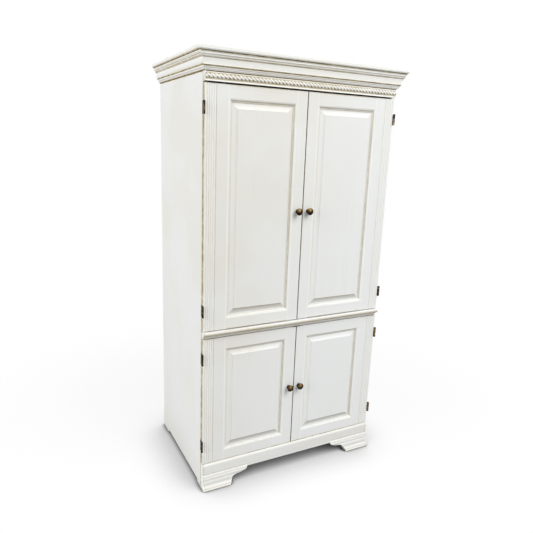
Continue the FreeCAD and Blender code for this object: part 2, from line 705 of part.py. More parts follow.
def knob_screw(x, z):
    """Machine screw from the back of the door up to the knob."""
    shank = cylinder((x, DOOR_FRONT, z), TO_BACK, KNOB_SCREW_RADIUS, DOOR_THICKNESS)
    head = cylinder((x, DOOR_BACK, z), TO_BACK, SCREW_HEAD_RADIUS, SCREW_HEAD_HEIGHT)
    return joined(shank, head)


def door_hinge_leaf(z):
    """Leaf on the edge of the door with the middle knuckle."""
    low = z - HINGE_HEIGHT / 2
    third = HINGE_HEIGHT / 3
    clear = HINGE_Y + KNUCKLE_RADIUS + KNUCKLE_SWING
    plate = box((HALF_WIDTH, HALF_WIDTH + LEAF_THICKNESS), (clear, DOOR_BACK - 1),
                (low, low + HINGE_HEIGHT))
    knuckle_low = low + third + KNUCKLE_GAP
    knuckle_high = low + 2 * third - KNUCKLE_GAP
    web = box((HALF_WIDTH, HALF_WIDTH + LEAF_THICKNESS), (HINGE_Y, clear),
              (knuckle_low, knuckle_high))
    knuckle = cylinder((HINGE_X, HINGE_Y, knuckle_low), UP, KNUCKLE_RADIUS,
                       knuckle_high - knuckle_low)
    bore = cylinder((HINGE_X, HINGE_Y, low), UP, PIN_RADIUS + PIN_CLEARANCE, HINGE_HEIGHT)
    return joined(plate, web, knuckle).cut(bore)


def cabinet_hinge_leaf(z):
    """Angled leaf: a foot on the edge of the side panel, a flange forward and two knuckles."""
    low = z - HINGE_HEIGHT / 2
    third = HINGE_HEIGHT / 3
    inner = HALF_WIDTH + LEAF_THICKNESS + LEAF_PLAY
    outer = inner + LEAF_THICKNESS
    foot = box((HALF_WIDTH - LEAF_FOOT, outer), (SIDE_FRONT - LEAF_THICKNESS, SIDE_FRONT),
               (low, low + HINGE_HEIGHT))
    flange = box((inner, outer), (HINGE_Y, SIDE_FRONT), (low, low + HINGE_HEIGHT))
    leaf = joined(foot, flange)
    room = box((inner - 1, outer + 1),
               (HINGE_Y - 1, HINGE_Y + KNUCKLE_RADIUS + KNUCKLE_SWING),
               (low + third, low + 2 * third))
    knuckles = [cylinder((HINGE_X, HINGE_Y, start), UP, KNUCKLE_RADIUS, third)
                for start in (low, low + 2 * third)]
    bore = cylinder((HINGE_X, HINGE_Y, low), UP, PIN_RADIUS, HINGE_HEIGHT)
    return joined(leaf.cut(room), *knuckles).cut(bore)


def hinge_pin(z):
    """Pin through the three knuckles, flush with both ends."""
    return cylinder((HINGE_X, HINGE_Y, z - HINGE_HEIGHT / 2), UP, PIN_RADIUS, HINGE_HEIGHT)


def hinge_heights(bottom, top):
    return (bottom + HINGE_END_DISTANCE, top - HINGE_END_DISTANCE)


def strike_plate(ceiling):
    """Steel plate on the back of the door, in front of its magnetic catch."""
    middle = ceiling - CATCH_HEIGHT / 2
    return box((CATCH_OFFSET - CATCH_LENGTH / 2, CATCH_OFFSET + CATCH_LENGTH / 2),
               (DOOR_BACK, DOOR_BACK + STRIKE_THICKNESS),
               (middle - STRIKE_HEIGHT / 2, middle + STRIKE_HEIGHT / 2))


def door_catch(ceiling):
    """Magnetic catch screwed under the board whose underside is at ceiling."""
    face = DOOR_BACK + STRIKE_THICKNESS + CATCH_GAP
    return box((CATCH_OFFSET - CATCH_LENGTH / 2, CATCH_OFFSET + CATCH_LENGTH / 2),
               (face, face + CATCH_DEPTH), (ceiling - CATCH_HEIGHT, ceiling))


def right_door(bottom, top, rail_width, catch_ceiling):
    """The pieces of a right-hand door, hung at +X."""
    edge = HALF_WIDTH
    left = DOOR_INNER_X + LOCK_STILE_WIDTH
    right = edge - HINGE_STILE_WIDTH
    low = bottom + rail_width
    high = top - rail_width
    knob_x = DOOR_INNER_X + KNOB_INSET
    knob_z = (bottom + top) / 2
    inner_low = FreeCAD.Vector(left, DOOR_FRONT, low)
    outer_low = FreeCAD.Vector(right, DOOR_FRONT, low)
    inner_high = FreeCAD.Vector(left, DOOR_FRONT, high)
    depth = (DOOR_FRONT, DOOR_BACK)
    stile = joined(hinge_stile(edge, bottom, top),
                   sticking(outer_low, UP, TO_RIGHT * -1, high - low))
    lock = joined(box((DOOR_INNER_X, left), depth, (bottom, top)),
                  sticking(inner_low, UP, TO_RIGHT, high - low))
    lock = lock.cut(cylinder((knob_x, DOOR_FRONT, knob_z), TO_BACK, KNOB_SCREW_RADIUS,
                             DOOR_THICKNESS))
    lower_rail = joined(box((left, right), depth, (bottom, low)),
                        sticking(inner_low, TO_RIGHT, UP, right - left))
    upper_rail = joined(box((left, right), depth, (high, top)),
                        sticking(inner_high, TO_RIGHT, UP * -1, right - left))
    leaves = [door_hinge_leaf(z) for z in hinge_heights(bottom, top)]
    return {
        "hinge_stile": stile,
        "lock_stile": lock,
        "rails": group([lower_rail, upper_rail]),
        "panel": raised_panel(left, right, low, high),
        "knob": knob_solid(knob_x, knob_z),
        "fittings": group(leaves + [strike_plate(catch_ceiling), knob_screw(knob_x, knob_z)]),
    }


DOOR_PAIRS = {
    "upper": (UPPER_DOOR_BOTTOM, UPPER_DOOR_TOP, UPPER_RAIL_WIDTH, ROOF_BOTTOM),
    "lower": (LOWER_DOOR_BOTTOM, LOWER_DOOR_TOP, LOWER_RAIL_WIDTH, MID_RAIL_BOTTOM),
}


def both_sides(solids):
    """Right-hand solids followed by their left-hand mirror images."""
    return group(solids + [mirrored(solid) for solid in solids])


def door_hardware():
    """What the doors hang on and close against, fixed to the carcass."""
    heights = [z for bottom, top, _, _ in DOOR_PAIRS.values() for z in hinge_heights(bottom, top)]
    return {
        "hinge_cabinet_leaves": both_sides([cabinet_hinge_leaf(z) for z in heights]),
        "hinge_pins": both_sides([hinge_pin(z) for z in heights]),
        "door_catches": both_sides([door_catch(pair[3]) for pair in DOOR_PAIRS.values()]),
    }


# ---------------------------------------------------------------- pull-outs
def slide_section(wall_x, way, middle_z, moving):
    """(x, z) outline of one slide member; way is +1 where the cabinet lies to the right."""
    half = SLIDE_HEIGHT / 2
    if moving:
        half -= SLIDE_METAL + SLIDE_PLAY
        back, lip = SLIDE_WIDTH, SLIDE_METAL + SLIDE_PLAY
    else:
        back, lip = 0.0, SLIDE_WIDTH - SLIDE_METAL - SLIDE_PLAY
    inner = back + SLIDE_METAL if back == 0 else back - SLIDE_METAL
    points = [
        (back, -half), (lip, -half), (lip, -half + SLIDE_METAL), (inner, -half + SLIDE_METAL),
        (inner, half - SLIDE_METAL), (lip, half - SLIDE_METAL), (lip, half), (back, half),
    ]
    return [(wall_x + way * x, middle_z + z) for x, z in points]


def slide_pair(left_wall, right_wall, middle_z, length, moving):
    """The members on both sides of one pull-out."""
    return [extrude(front_outline(SLIDE_FRONT, slide_section(wall, way, middle_z, moving)),
                    TO_BACK, length)
            for wall, way in ((left_wall, 1), (right_wall, -1))]


def tray(left_wall, right_wall, bottom, depth):
    """Pull-out tray: a board with a rounded front edge, two sides and a back rail."""
    left = left_wall + SLIDE_WIDTH
    right = right_wall - SLIDE_WIDTH
    back = PULLOUT_FRONT + depth
    top = bottom + TRAY_BOARD
    board = box((left, right), (PULLOUT_FRONT, back), (bottom, top))
    nose = [edge for edge in board.Edges
            if abs(edge.CenterOfMass.y - PULLOUT_FRONT) < TOUCH and edge.Length > TRAY_BOARD * 2]
    board = board.makeFillet(TRAY_BOARD / 3, nose)
    sides = [box(limits, (SLIDE_FRONT, back), (top, top + TRAY_SIDE_HEIGHT))
             for limits in ((left, left + TRAY_SIDE), (right - TRAY_SIDE, right))]
    rail = box((left + TRAY_SIDE, right - TRAY_SIDE), (back - TRAY_SIDE, back),
               (top, top + TRAY_SIDE_HEIGHT))
    return group([board, rail] + sides)


def supply_drawer(left_wall, right_wall, bottom, top):
    """Drawer front with a finger scoop, and the box behind it."""
    left = left_wall + SLIDE_WIDTH
    right = right_wall - SLIDE_WIDTH
    front_back = PULLOUT_FRONT + BOARD_THICKNESS
    back = PULLOUT_FRONT + DRAWER_DEPTH
    base = bottom + DRAWER_FRONT_GAP + DRAWER_BOTTOM_RISE
    rim = base + DRAWER_SIDE_HEIGHT
    low = bottom + DRAWER_FRONT_GAP
    high = top - DRAWER_FRONT_GAP
    middle = (left + right) / 2
    scoop = (middle - PULL_WIDTH / 2, middle + PULL_WIDTH / 2)
    outline = [
        (left_wall + DRAWER_FRONT_GAP, low),
        (right_wall - DRAWER_FRONT_GAP, low),
        (right_wall - DRAWER_FRONT_GAP, high),
        (scoop[1], high),
        ((middle, high - PULL_DEPTH), (scoop[0], high)),
        (left_wall + DRAWER_FRONT_GAP, high),
    ]
    front = extrude(front_outline(PULLOUT_FRONT, outline), TO_BACK, BOARD_THICKNESS)
    sides = [box(limits, (front_back, back), (base, rim))
             for limits in ((left, left + TRAY_SIDE), (right - TRAY_SIDE, right))]
    back_board = box((left + TRAY_SIDE, right - TRAY_SIDE), (back - TRAY_SIDE, back), (base, rim))
    floor = box((left + TRAY_SIDE, right - TRAY_SIDE), (front_back, back - TRAY_SIDE),
                (base, base + DRAWER_BOTTOM_THICKNESS))
    return front, group(sides + [back_board, floor])


def pull_outs():
    """Every tray and drawer with its moving slide members, and the fixed members beside them."""
    left_bay = (-INNER_X, -DIVIDER_FACE)
    right_bay = (DIVIDER_FACE, INNER_X)
    keyboard_low = DECK_TOP + KEYBOARD_TRAY_RISE
    drawer_low = DECK_TOP + DRAWER_FRONT_GAP + DRAWER_BOTTOM_RISE
    runs = {
        "keyboard_tray": (left_bay, keyboard_low + TRAY_BOARD + TRAY_SIDE_HEIGHT / 2,
                          KEYBOARD_TRAY_DEPTH),
        "printer_tray": (right_bay, PRINTER_TRAY_HEIGHT + TRAY_BOARD + TRAY_SIDE_HEIGHT / 2,
                         PRINTER_TRAY_DEPTH),
        "supply_drawer": (right_bay, drawer_low + DRAWER_SIDE_HEIGHT / 2, DRAWER_DEPTH),
    }
    pieces = {}
    fixed = []
    for name, (bay, middle, depth) in runs.items():
        length = depth - SLIDE_SETBACK
        pieces[name + "_slides"] = group(slide_pair(*bay, middle, length, True))
        fixed += slide_pair(*bay, middle, length, False)
    pieces["slide_cabinet_members"] = group(fixed)
    pieces["keyboard_tray"] = tray(*left_bay, keyboard_low, KEYBOARD_TRAY_DEPTH)
    pieces["printer_tray"] = tray(*right_bay, PRINTER_TRAY_HEIGHT, PRINTER_TRAY_DEPTH)
    front, drawer_box = supply_drawer(*right_bay, DECK_TOP, MONITOR_SHELF_BOTTOM)
    pieces["supply_drawer_front"] = front
    pieces["supply_drawer_box"] = drawer_box
    return pieces


# ---------------------------------------------------------------- the whole armoire
def build_armoire():
    """Every node of the armoire, by name."""
    nodes = dict(fixed_boards())
    nodes["left_side_panel"] = side_panel(-INNER_X, -1)
    nodes["right_side_panel"] = side_panel(INNER_X, 1)
    nodes["lower_partition"] = lower_partition()
    nodes["tray_divider"] = tray_divider()
    nodes["upper_shelf"] = adjustable_shelf(-INNER_X, INNER_X, UPPER_SHELF_HEIGHT)
    nodes["lower_shelf"] = adjustable_shelf(-INNER_X, -DIVIDER_FACE, LOWER_SHELF_HEIGHT)
    nodes["shelf_pins"] = shelf_pins()
    nodes["lower_back_panel"] = back_panel(BASE_TOP - BOARD_THICKNESS, DECK_TOP)
    nodes["upper_back_panel"] = back_panel(DECK_TOP, CROWN_TOP)
    nodes["cable_grommets"] = cable_grommets()
    nodes["frieze_rail"] = frieze_rail()
    nodes["rope_moulding"] = rope_moulding()
    nodes["mid_rail"] = mid_rail()
    nodes["mid_moulding"] = mid_moulding()
    nodes["base_rail"] = base_rail()
    nodes["left_bracket_foot"] = left_bracket_foot()
    nodes["right_bracket_foot"] = mirrored(left_bracket_foot())
    nodes["front_crown"] = front_crown()
    nodes["left_crown"] = left_crown()
    nodes["right_crown"] = mirrored(left_crown())
    nodes["top_board"] = top_board()
    nodes.update(door_hardware())
    nodes.update(pull_outs())
    for level, sizes in DOOR_PAIRS.items():
        for piece, shape in right_door(*sizes).items():
            nodes[level + "_right_" + piece] = shape
            nodes[level + "_left_" + piece] = mirrored(shape)
    return nodes


def main():
    os.makedirs("parts", exist_ok=True)
    for name, shape in build_armoire().items():
        shape.exportStep("parts/" + name + ".step")


main()
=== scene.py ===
import bmesh
import bpy
import math
from mathutils import Matrix, Vector


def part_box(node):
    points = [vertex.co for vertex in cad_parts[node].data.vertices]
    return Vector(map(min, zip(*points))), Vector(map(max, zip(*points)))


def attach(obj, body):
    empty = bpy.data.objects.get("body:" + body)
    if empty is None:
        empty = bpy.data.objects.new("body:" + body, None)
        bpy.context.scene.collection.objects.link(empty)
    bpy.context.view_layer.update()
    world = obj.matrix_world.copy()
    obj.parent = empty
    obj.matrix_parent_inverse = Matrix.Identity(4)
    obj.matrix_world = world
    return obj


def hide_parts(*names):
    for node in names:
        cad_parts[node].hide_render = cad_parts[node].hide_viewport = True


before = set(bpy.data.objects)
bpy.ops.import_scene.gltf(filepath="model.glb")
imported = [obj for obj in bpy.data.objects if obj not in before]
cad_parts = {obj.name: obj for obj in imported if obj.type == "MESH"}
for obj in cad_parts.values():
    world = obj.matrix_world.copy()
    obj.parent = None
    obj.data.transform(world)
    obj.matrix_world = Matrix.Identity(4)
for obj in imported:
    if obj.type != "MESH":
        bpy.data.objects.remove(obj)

bl_info = {
    "name": "Painted Computer Armoire",
    "version": (1, 0, 0),
    "blender": (4, 5, 0),
    "location": "3D View > Sidebar > Armoire",
    "description": "Mouldings, doors, hardware and painted finishes for a computer armoire",
    "category": "Object",
}

# ---- places taken from the parts of model.glb, in metres
MM = 0.001
SIDE_LOW, SIDE_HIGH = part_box("right_side_panel")
FRIEZE_LOW, FRIEZE_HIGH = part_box("frieze_rail")
TOP_LOW, TOP_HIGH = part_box("top_board")
CROWN_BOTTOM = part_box("front_crown")[0].z
MID_LOW, MID_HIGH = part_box("mid_moulding")
RAIL_LOW, RAIL_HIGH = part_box("base_rail")
FOOT_LOW, FOOT_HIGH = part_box("right_bracket_foot")
ROPE_LOW, ROPE_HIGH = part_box("rope_moulding")
HALF_WIDTH = SIDE_HIGH.x
WIDTH = 2 * HALF_WIDTH
FRIEZE_FACE = FRIEZE_LOW.y
CARCASS_FRONT = SIDE_LOW.y
CARCASS_BACK = SIDE_HIGH.y
DOOR_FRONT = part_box("upper_right_hinge_stile")[0].y
DOOR_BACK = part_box("upper_right_hinge_stile")[1].y
DOOR_THICK = (DOOR_BACK - DOOR_FRONT) / MM
DOOR_OUT = (CARCASS_FRONT - DOOR_FRONT) / MM

# ---- directions
RIGHT = Vector((1, 0, 0))
LEFT = -RIGHT
BACK = Vector((0, 1, 0))
FRONT = -BACK
UP = Vector((0, 0, 1))
SIDES = {"left": -1, "right": 1}
DOORS = ("upper_left_", "upper_right_", "lower_left_", "lower_right_")
# how finely the grain's noise changes along x, y and z
GRAINS = {"up": (55, 55, 1.6), "across": (1.6, 55, 55), "back": (55, 1.6, 55)}
ALONG_FRONT = (FRONT, UP, RIGHT)


def tone(red, green, blue):
    """Linear colour from display values of 0 to 255."""
    def linear(value):
        share = value / 255
        return share / 12.92 if share <= 0.04045 else ((share + 0.055) / 1.055) ** 2.4
    return (linear(red), linear(green), linear(blue), 1.0)


# ---- what a user would change
def a_colour(name, description, default):
    return bpy.props.FloatVectorProperty(
        name=name, description=description, default=default, size=4, min=0, max=1, subtype="COLOR")


def a_number(name, description, default, low, high, **kind):
    return bpy.props.FloatProperty(name=name, description=description, default=default, min=low, max=high, **kind)


def a_length(name, description, *millimetres):
    """A length, from its default and its limits."""
    return a_number(name, description, *(value * MM for value in millimetres), unit="LENGTH")


class PaintSettings(bpy.types.PropertyGroup):
    paint: a_colour("Paint", "Colour of the antique white paint", tone(236, 237, 236))
    inside: a_colour("Inside paint", "Colour of the shelves, floor and back", tone(228, 224, 213))
    # The pale paint is a painted highlight. The glaze colours and strength also paint shade into grooves, corners
    # and undersides.
    highlight_paint: a_colour("Pale paint", "Paint where hands and sanding have made it paler", tone(253, 252, 247))
    wash: a_colour("Wash", "Thin warm wash left along the grain", tone(220, 213, 197))
    glaze: a_colour("Glaze", "Brown glaze wiped into grooves and corners", tone(178, 153, 80))
    umber: a_colour("Thick glaze", "Colour of the glaze where it is thickest", tone(92, 76, 44))
    glaze_and_shading_strength: a_number("Glaze strength", "How much glaze stays in the grooves", 1.0, 0, 1, subtype="FACTOR")


class MouldingSettings(bpy.types.PropertyGroup):
    rope_pitch: a_length("Rope pitch", "Length of one turn of the rope moulding", 17, 5, 60)
    rope_depth: a_length("Rope groove", "Depth of the grooves between the rope's strands", 3.2, 0.5, 6)


class DoorSettings(bpy.types.PropertyGroup):
    reed_band: a_length("Reeded band", "Width of the reeds on the hinge stiles", 49.5, 20, 90)
    reed_depth: a_length("Reed depth", "Depth of the grooves between reeds", 1.4, 0.5, 5)
    reeds: bpy.props.IntProperty(name="Reeds", description="Reeds on each hinge stile", default=5, min=2, max=9)
    bevel: a_length("Panel slope", "Width of the slope round the raised field", 24.0, 8, 50)
    hollow: a_length("Slope hollow", "How far the middle of the slope is hollowed out", 1.5, 0, 1.5)
    field_step: a_length("Field step", "Step from the raised field down to its slope", 1.5, 0, 4)


class HardwareSettings(bpy.types.PropertyGroup):
    # The brass colour also paints a highlight on the upper front of each knob.
    brass: a_colour("Brass", "Rubbed metal on the knobs", tone(150, 120, 74))
    patina: a_colour("Patina", "Dark patina on the knobs", tone(30, 23, 15))
    bronze: a_colour("Bronze", "Dark finish of the hinges", tone(20, 17, 14))


class StageSettings(bpy.types.PropertyGroup):
    floor: a_colour("Floor", "Colour of the pale floor", (0.3, 0.3, 0.3, 1))
    sky: a_number("Sky", "Strength of the even light from all round", 0.32, 0, 4)
    key: a_number("Key light", "Power of the soft light above the right shoulder", 282.0, 0, 5000, unit="POWER")
    front: a_number("Front light", "Power of the broad light in front", 190.0, 0, 5000, unit="POWER")
    side: a_number("Side light", "Power of the soft light on the left side", 342.0, 0, 5000, unit="POWER")
    contact: a_length(
        "Contact shadow", "How far the soft shadow reaches from what stands on the floor", 270, 10, 2000)
    touch: a_length("Touching shadow", "How far the dark line reaches from what touches the floor", 30, 5, 200)
    lens: a_number("Lens", "Focal length of the camera on a 36 mm wide sensor", 34.497, 10, 200, unit="CAMERA")


# ---- shader helpers
def fill(tree, node, inputs):
    """Gives each input of a node a value or another node's output."""
    for key, value in inputs.items():
        if isinstance(value, bpy.types.NodeSocket):
            tree.links.new(value, node.inputs[key])
        else:
            node.inputs[key].default_value = value


def place(tree, kind, inputs=None, **settings):
    """Adds a shader node of a kind."""
    node = tree.nodes.new("ShaderNode" + kind)
    for key, value in settings.items():
        setattr(node, key, value)
    fill(tree, node, inputs or {})
    return node


def calc(tree, operation, first, second=0):
    return place(tree, "Math", {0: first, 1: second}, operation=operation).outputs[0]


def times(tree, product, *factors):
    for factor in factors:
        product = calc(tree, "MULTIPLY", product, factor)
    return product


def vector_calc(tree, operation, first, second=(0, 0, 0)):
    """Outputs of a vector operation: Vector or Value."""
    return place(tree, "VectorMath", {0: first, 1: second}, operation=operation).outputs


def split(tree, vector):
    """Outputs X, Y and Z of a vector."""
    return place(tree, "SeparateXYZ", {0: vector}).outputs


def blend(tree, factor, first, second):
    """Colour between first and second."""
    return place(tree, "Mix", {"Factor": factor, 6: first, 7: second}, data_type="RGBA").outputs[2]


def remap(tree, value, low, high, to_low=0, to_high=1):
    """Value moved from low..high to to_low..to_high, smooth and clamped."""
    inputs = {0: value, 1: low, 2: high, 3: to_low, 4: to_high}
    return place(tree, "MapRange", inputs, interpolation_type="SMOOTHSTEP").outputs[0]


def noise(tree, vector, scale, detail=3, roughness=0.55):
    inputs = {"Vector": vector, "Scale": scale, "Detail": detail, "Roughness": roughness}
    return place(tree, "TexNoise", inputs).outputs[0]


def attribute(tree, name):
    return place(tree, "Attribute", attribute_name=name).outputs["Fac"]


def shared(tree, name, inputs):
    """Outputs of a shared shader group."""
    return place(tree, "Group", inputs, node_tree=bpy.data.node_groups[name]).outputs


def start_group(name, inputs, outputs):
    """An empty shader group, what it is given and its output node."""
    group = bpy.data.node_groups.new(name, "ShaderNodeTree")
    for in_out, sockets in (("INPUT", inputs), ("OUTPUT", outputs)):
        for label, kind in sockets.items():
            group.interface.new_socket(label, in_out=in_out, socket_type="NodeSocket" + kind)
    return group, group.nodes.new("NodeGroupInput").outputs, group.nodes.new("NodeGroupOutput")


# ---- shared effects
CHIP_SCALE, CHIP_AMOUNT, CHIP_RAGGED = 26, 0.05, 0.12
CHIP_COLOUR, CHIP_DEPTH = 0.4, 0.9
# Grey of painted shade, mixed in where a mesh asks for it.
SHADE_GREY = tone(190, 190, 187)
# ranges for remap: noise in, share of a layer out
STREAKS, BRUSH_LINES, PATCHES = (0.5, 0.74), (0.35, 0.75, 0, 0.14), (0.42, 0.66)
BROKEN, RUBBED, THICK = (0.25, 0.7, 0.55, 1), (0.2, 0.65, 0.7, 1), (0.5, 1.15, 0, 0.85)
# warmer paint towards the upper left: share of the height, ranges of place and noise
WARM_TINT_HEIGHT, WARM_TINT_PLACE, WARM_TINT_NOISE = 0.35, (0, 0.75), (0.35, 0.65, 0.16, 0.4)
# warmer paint towards the floor, by height
WARM_TINT_FOOT = (0.16, 0.08, 0, 0.12)


def specks_group():
    """Mask of small scattered chips."""
    tree, given, out = start_group("Specks", {"Vector": "Vector"}, {"Mask": "Float"})
    where = given["Vector"]
    cells = place(tree, "TexVoronoi", {"Vector": where, "Scale": CHIP_SCALE}).outputs
    ragged = times(tree, noise(tree, where, 260, 2), CHIP_RAGGED)
    dot = remap(tree, calc(tree, "ADD", cells["Distance"], ragged), 0.16, 0.1)
    draw = place(tree, "SeparateColor", {0: cells["Color"]}).outputs[0]
    fill(tree, out, {"Mask": times(tree, dot, calc(tree, "GREATER_THAN", draw, 1 - CHIP_AMOUNT))})


def paint_group():
    """Brushed paint: grain streaks, a warm wash, warmer paint towards the upper left, glaze in the grooves
    deepened into painted shade, grey painted shade, paler paint as a painted highlight, and specks.
    """
    tree, given, out = start_group(
        "Antique Paint",
        {"Vector": "Vector", "Grain": "Vector", "Glaze": "Float", "Wash": "Float", "Paint": "Color",
         "Pale": "Color", "Warm": "Color", "Brown": "Color", "Umber": "Color"},
        {"Color": "Color", "Roughness": "Float", "Height": "Float"})
    where = given["Vector"]
    along = vector_calc(tree, "MULTIPLY", where, given["Grain"])["Vector"]
    streak = noise(tree, along, 1, 5, 0.62)
    fine = noise(tree, along, 4, 4, 0.7)
    broad = noise(tree, where, 2.6, 2)
    cloud = noise(tree, where, 34, 4, 0.6)
    spot = split(tree, where)
    chips = shared(tree, "Specks", {"Vector": where})[0]

    warm_tint = calc(tree, "SUBTRACT", times(tree, spot["Z"], WARM_TINT_HEIGHT), spot["X"])
    warm_tint = times(tree, remap(tree, warm_tint, *WARM_TINT_PLACE), remap(tree, broad, *WARM_TINT_NOISE))
    warm_tint = calc(tree, "ADD", warm_tint, remap(tree, spot["Z"], *WARM_TINT_FOOT))
    painted_highlight = calc(tree, "MAXIMUM", times(tree, given["Glaze"], -1), 0)
    in_streaks = times(tree, remap(tree, streak, *STREAKS), remap(tree, broad, *PATCHES))
    wash = calc(tree, "MAXIMUM", in_streaks, remap(tree, fine, *BRUSH_LINES))
    wash = times(tree, wash, given["Wash"])
    left = calc(tree, "MAXIMUM", given["Glaze"], 0)
    depth = times(tree, left, remap(tree, cloud, *BROKEN), remap(tree, fine, *RUBBED))

    colour = given["Paint"]
    for share, layer in (
            (warm_tint, given["Warm"]), (attribute(tree, "grime"), SHADE_GREY), (painted_highlight, given["Pale"]), (wash, given["Warm"]),
            (depth, given["Brown"]), (remap(tree, depth, *THICK), given["Umber"]),
            (times(tree, chips, CHIP_COLOUR), given["Warm"])):
        colour = blend(tree, share, colour, layer)
    rough = calc(tree, "ADD", remap(tree, streak, 0.2, 0.8, 0.4, 0.56), times(tree, depth, 0.15))
    height = calc(tree, "ADD", streak, times(tree, fine, 0.6))
    height = calc(tree, "SUBTRACT", height, times(tree, chips, CHIP_DEPTH))
    fill(tree, out, {"Color": colour, "Roughness": rough, "Height": height})


def edge_group():
    """Rubbed edges: a mask where the surface turns sharply, and the softened normal."""
    tree, given, out = start_group(
        "Rubbed Edges", {"Vector": "Vector", "Radius": "Float"}, {"Mask": "Float", "Normal": "Vector"})
    soft = place(tree, "Bevel", {"Radius": given["Radius"]}, samples=6).outputs[0]
    plain = place(tree, "NewGeometry").outputs["Normal"]
    same = vector_calc(tree, "DOT_PRODUCT", soft, plain)["Value"]
    turn = remap(tree, calc(tree, "SUBTRACT", 1, same), 0.01, 0.16)
    worn = remap(tree, noise(tree, given["Vector"], 120, 4), 0.35, 0.6, 0.25, 1)
    fill(tree, out, {"Mask": times(tree, turn, worn), "Normal": soft})


# ---- materials
EDGE = 1.2 * MM  # rounding of sanded edges
# ranges for remap: a side panel's glaze and painted shade along its front edge, and a painted shadow under the crown
FRONT_GLAZE_AND_SHADE = (CARCASS_FRONT + 7.5 * MM, CARCASS_FRONT + 1 * MM, 0, 1.15)
CROWN_EDGE_GLAZE_AND_SHADOW = (CROWN_BOTTOM - 6 * MM, CROWN_BOTTOM - 1 * MM, 0, 1.15)
# Knob faces that turn this way get a painted highlight of the rubbed brass colour.
KNOB_HIGHLIGHT_WAY = (-0.2, -0.88, 0.43)
# Noise above this rubs a metal's patches through; on the hinges the patches also stand for painted glints.
MOTTLE_START = 0.48  # noise from which a metal's patches are rubbed


def start_material(name):
    """Tree and Principled shader of a new material, and the object's own coordinates and normal."""
    material = bpy.data.materials.new(name)
    material.use_nodes = True
    tree = material.node_tree
    return tree, tree.nodes["Principled BSDF"], place(tree, "TexCoord").outputs


def bump(tree, height, distance, strength, normal=None):
    inputs = {"Height": height, "Distance": distance, "Strength": strength}
    if normal:
        inputs["Normal"] = normal
    return place(tree, "Bump", inputs).outputs[0]


def carved_glaze_and_shading(tree, own):
    """Glaze, painted shade and painted highlight stored with the mesh, on worked pieces."""
    return times(tree, attribute(tree, "glaze"), bpy.context.scene.armoire_paint.glaze_and_shading_strength)


def board_glaze_and_shading(tree, own):
    """Glaze and painted shade on the outer face of a side panel along its front edge, and a painted shadow under the
    crown.
    """
    spot = split(tree, own["Object"])
    mask = calc(tree, "MAXIMUM", remap(tree, spot["Y"], *FRONT_GLAZE_AND_SHADE), remap(tree, spot["Z"], *CROWN_EDGE_GLAZE_AND_SHADOW))
    return times(tree, mask, calc(tree, "ABSOLUTE", split(tree, own["Normal"])["X"]))


def paint_material(name, grain, wash, paint, glaze=None, rounded=0):
    """Painted wood whose brush strokes and grain run the way that grain is stretched."""
    settings = bpy.context.scene.armoire_paint
    tree, shader, own = start_material(name)
    surface = shared(tree, "Antique Paint", {
        "Vector": own["Object"], "Grain": grain, "Glaze": glaze(tree, own) if glaze else 0, "Wash": wash,
        "Paint": paint, "Pale": settings.highlight_paint, "Warm": settings.wash, "Brown": settings.glaze,
        "Umber": settings.umber})
    edges = shared(tree, "Rubbed Edges", {"Vector": own["Object"], "Radius": rounded}) if rounded else {}
    fill(tree, shader, {
        "Specular IOR Level": 0.4, "Diffuse Roughness": 0.3, "Base Color": surface["Color"],
        "Roughness": surface["Roughness"],
        "Normal": bump(tree, surface["Height"], 0.25 * MM, 0.6, edges.get("Normal"))})


def metal_material(name, base, rubbed_and_highlight, roughness, radius, grain=(60, 60, 60), wear=1, knob_highlight=0,
                   mottle=0.35, mottle_end=0.7, reflection_by_side=None):
    """Metal whose dark finish is rubbed through at its edges and in patches, which on the hinges also stand for
    painted glints.

    One share paints a highlight of the rubbed colour on faces that turn up and to the front, on the knobs. Another
    scales the rubbed colour from left to right, a share (left, right) of the middle: a painted reflection, lighter
    on the right hinges.
    """
    tree, shader, own = start_material(name)
    where = own["Object"]
    edges = shared(tree, "Rubbed Edges", {"Vector": where, "Radius": radius})
    cloud = noise(tree, vector_calc(tree, "MULTIPLY", where, grain)["Vector"], 2, 4)
    patches_and_glints = remap(tree, cloud, MOTTLE_START, mottle_end, 0, mottle)
    share = times(tree, calc(tree, "MAXIMUM", edges["Mask"], patches_and_glints), wear)
    if reflection_by_side:
        share = times(tree, share, remap(tree, split(tree, where)["X"], -0.2, 0.2, *reflection_by_side))
    if knob_highlight:
        facing_highlight = vector_calc(tree, "DOT_PRODUCT", own["Normal"], KNOB_HIGHLIGHT_WAY)["Value"]
        share = calc(tree, "MAXIMUM", share, remap(tree, facing_highlight, 0.8, 0.98, 0, knob_highlight))
    fill(tree, shader, {
        "Metallic": 1, "Base Color": blend(tree, share, base, rubbed_and_highlight),
        "Roughness": remap(tree, cloud, 0.3, 0.7, *roughness),
        "Normal": bump(tree, cloud, 0.08 * MM, 0.5, edges["Normal"])})


def plastic_material(name, colour, lighter):
    tree, shader, own = start_material(name)
    grain = noise(tree, own["Object"], 900, 2)
    broad = noise(tree, own["Object"], 40, 2)
    fill(tree, shader, {
        "Specular IOR Level": 0.45, "Base Color": blend(tree, remap(tree, broad, 0.35, 0.7), colour, lighter),
        "Roughness": remap(tree, broad, 0.3, 0.7, 0.42, 0.55), "Normal": bump(tree, grain, 0.05 * MM, 0.4)})


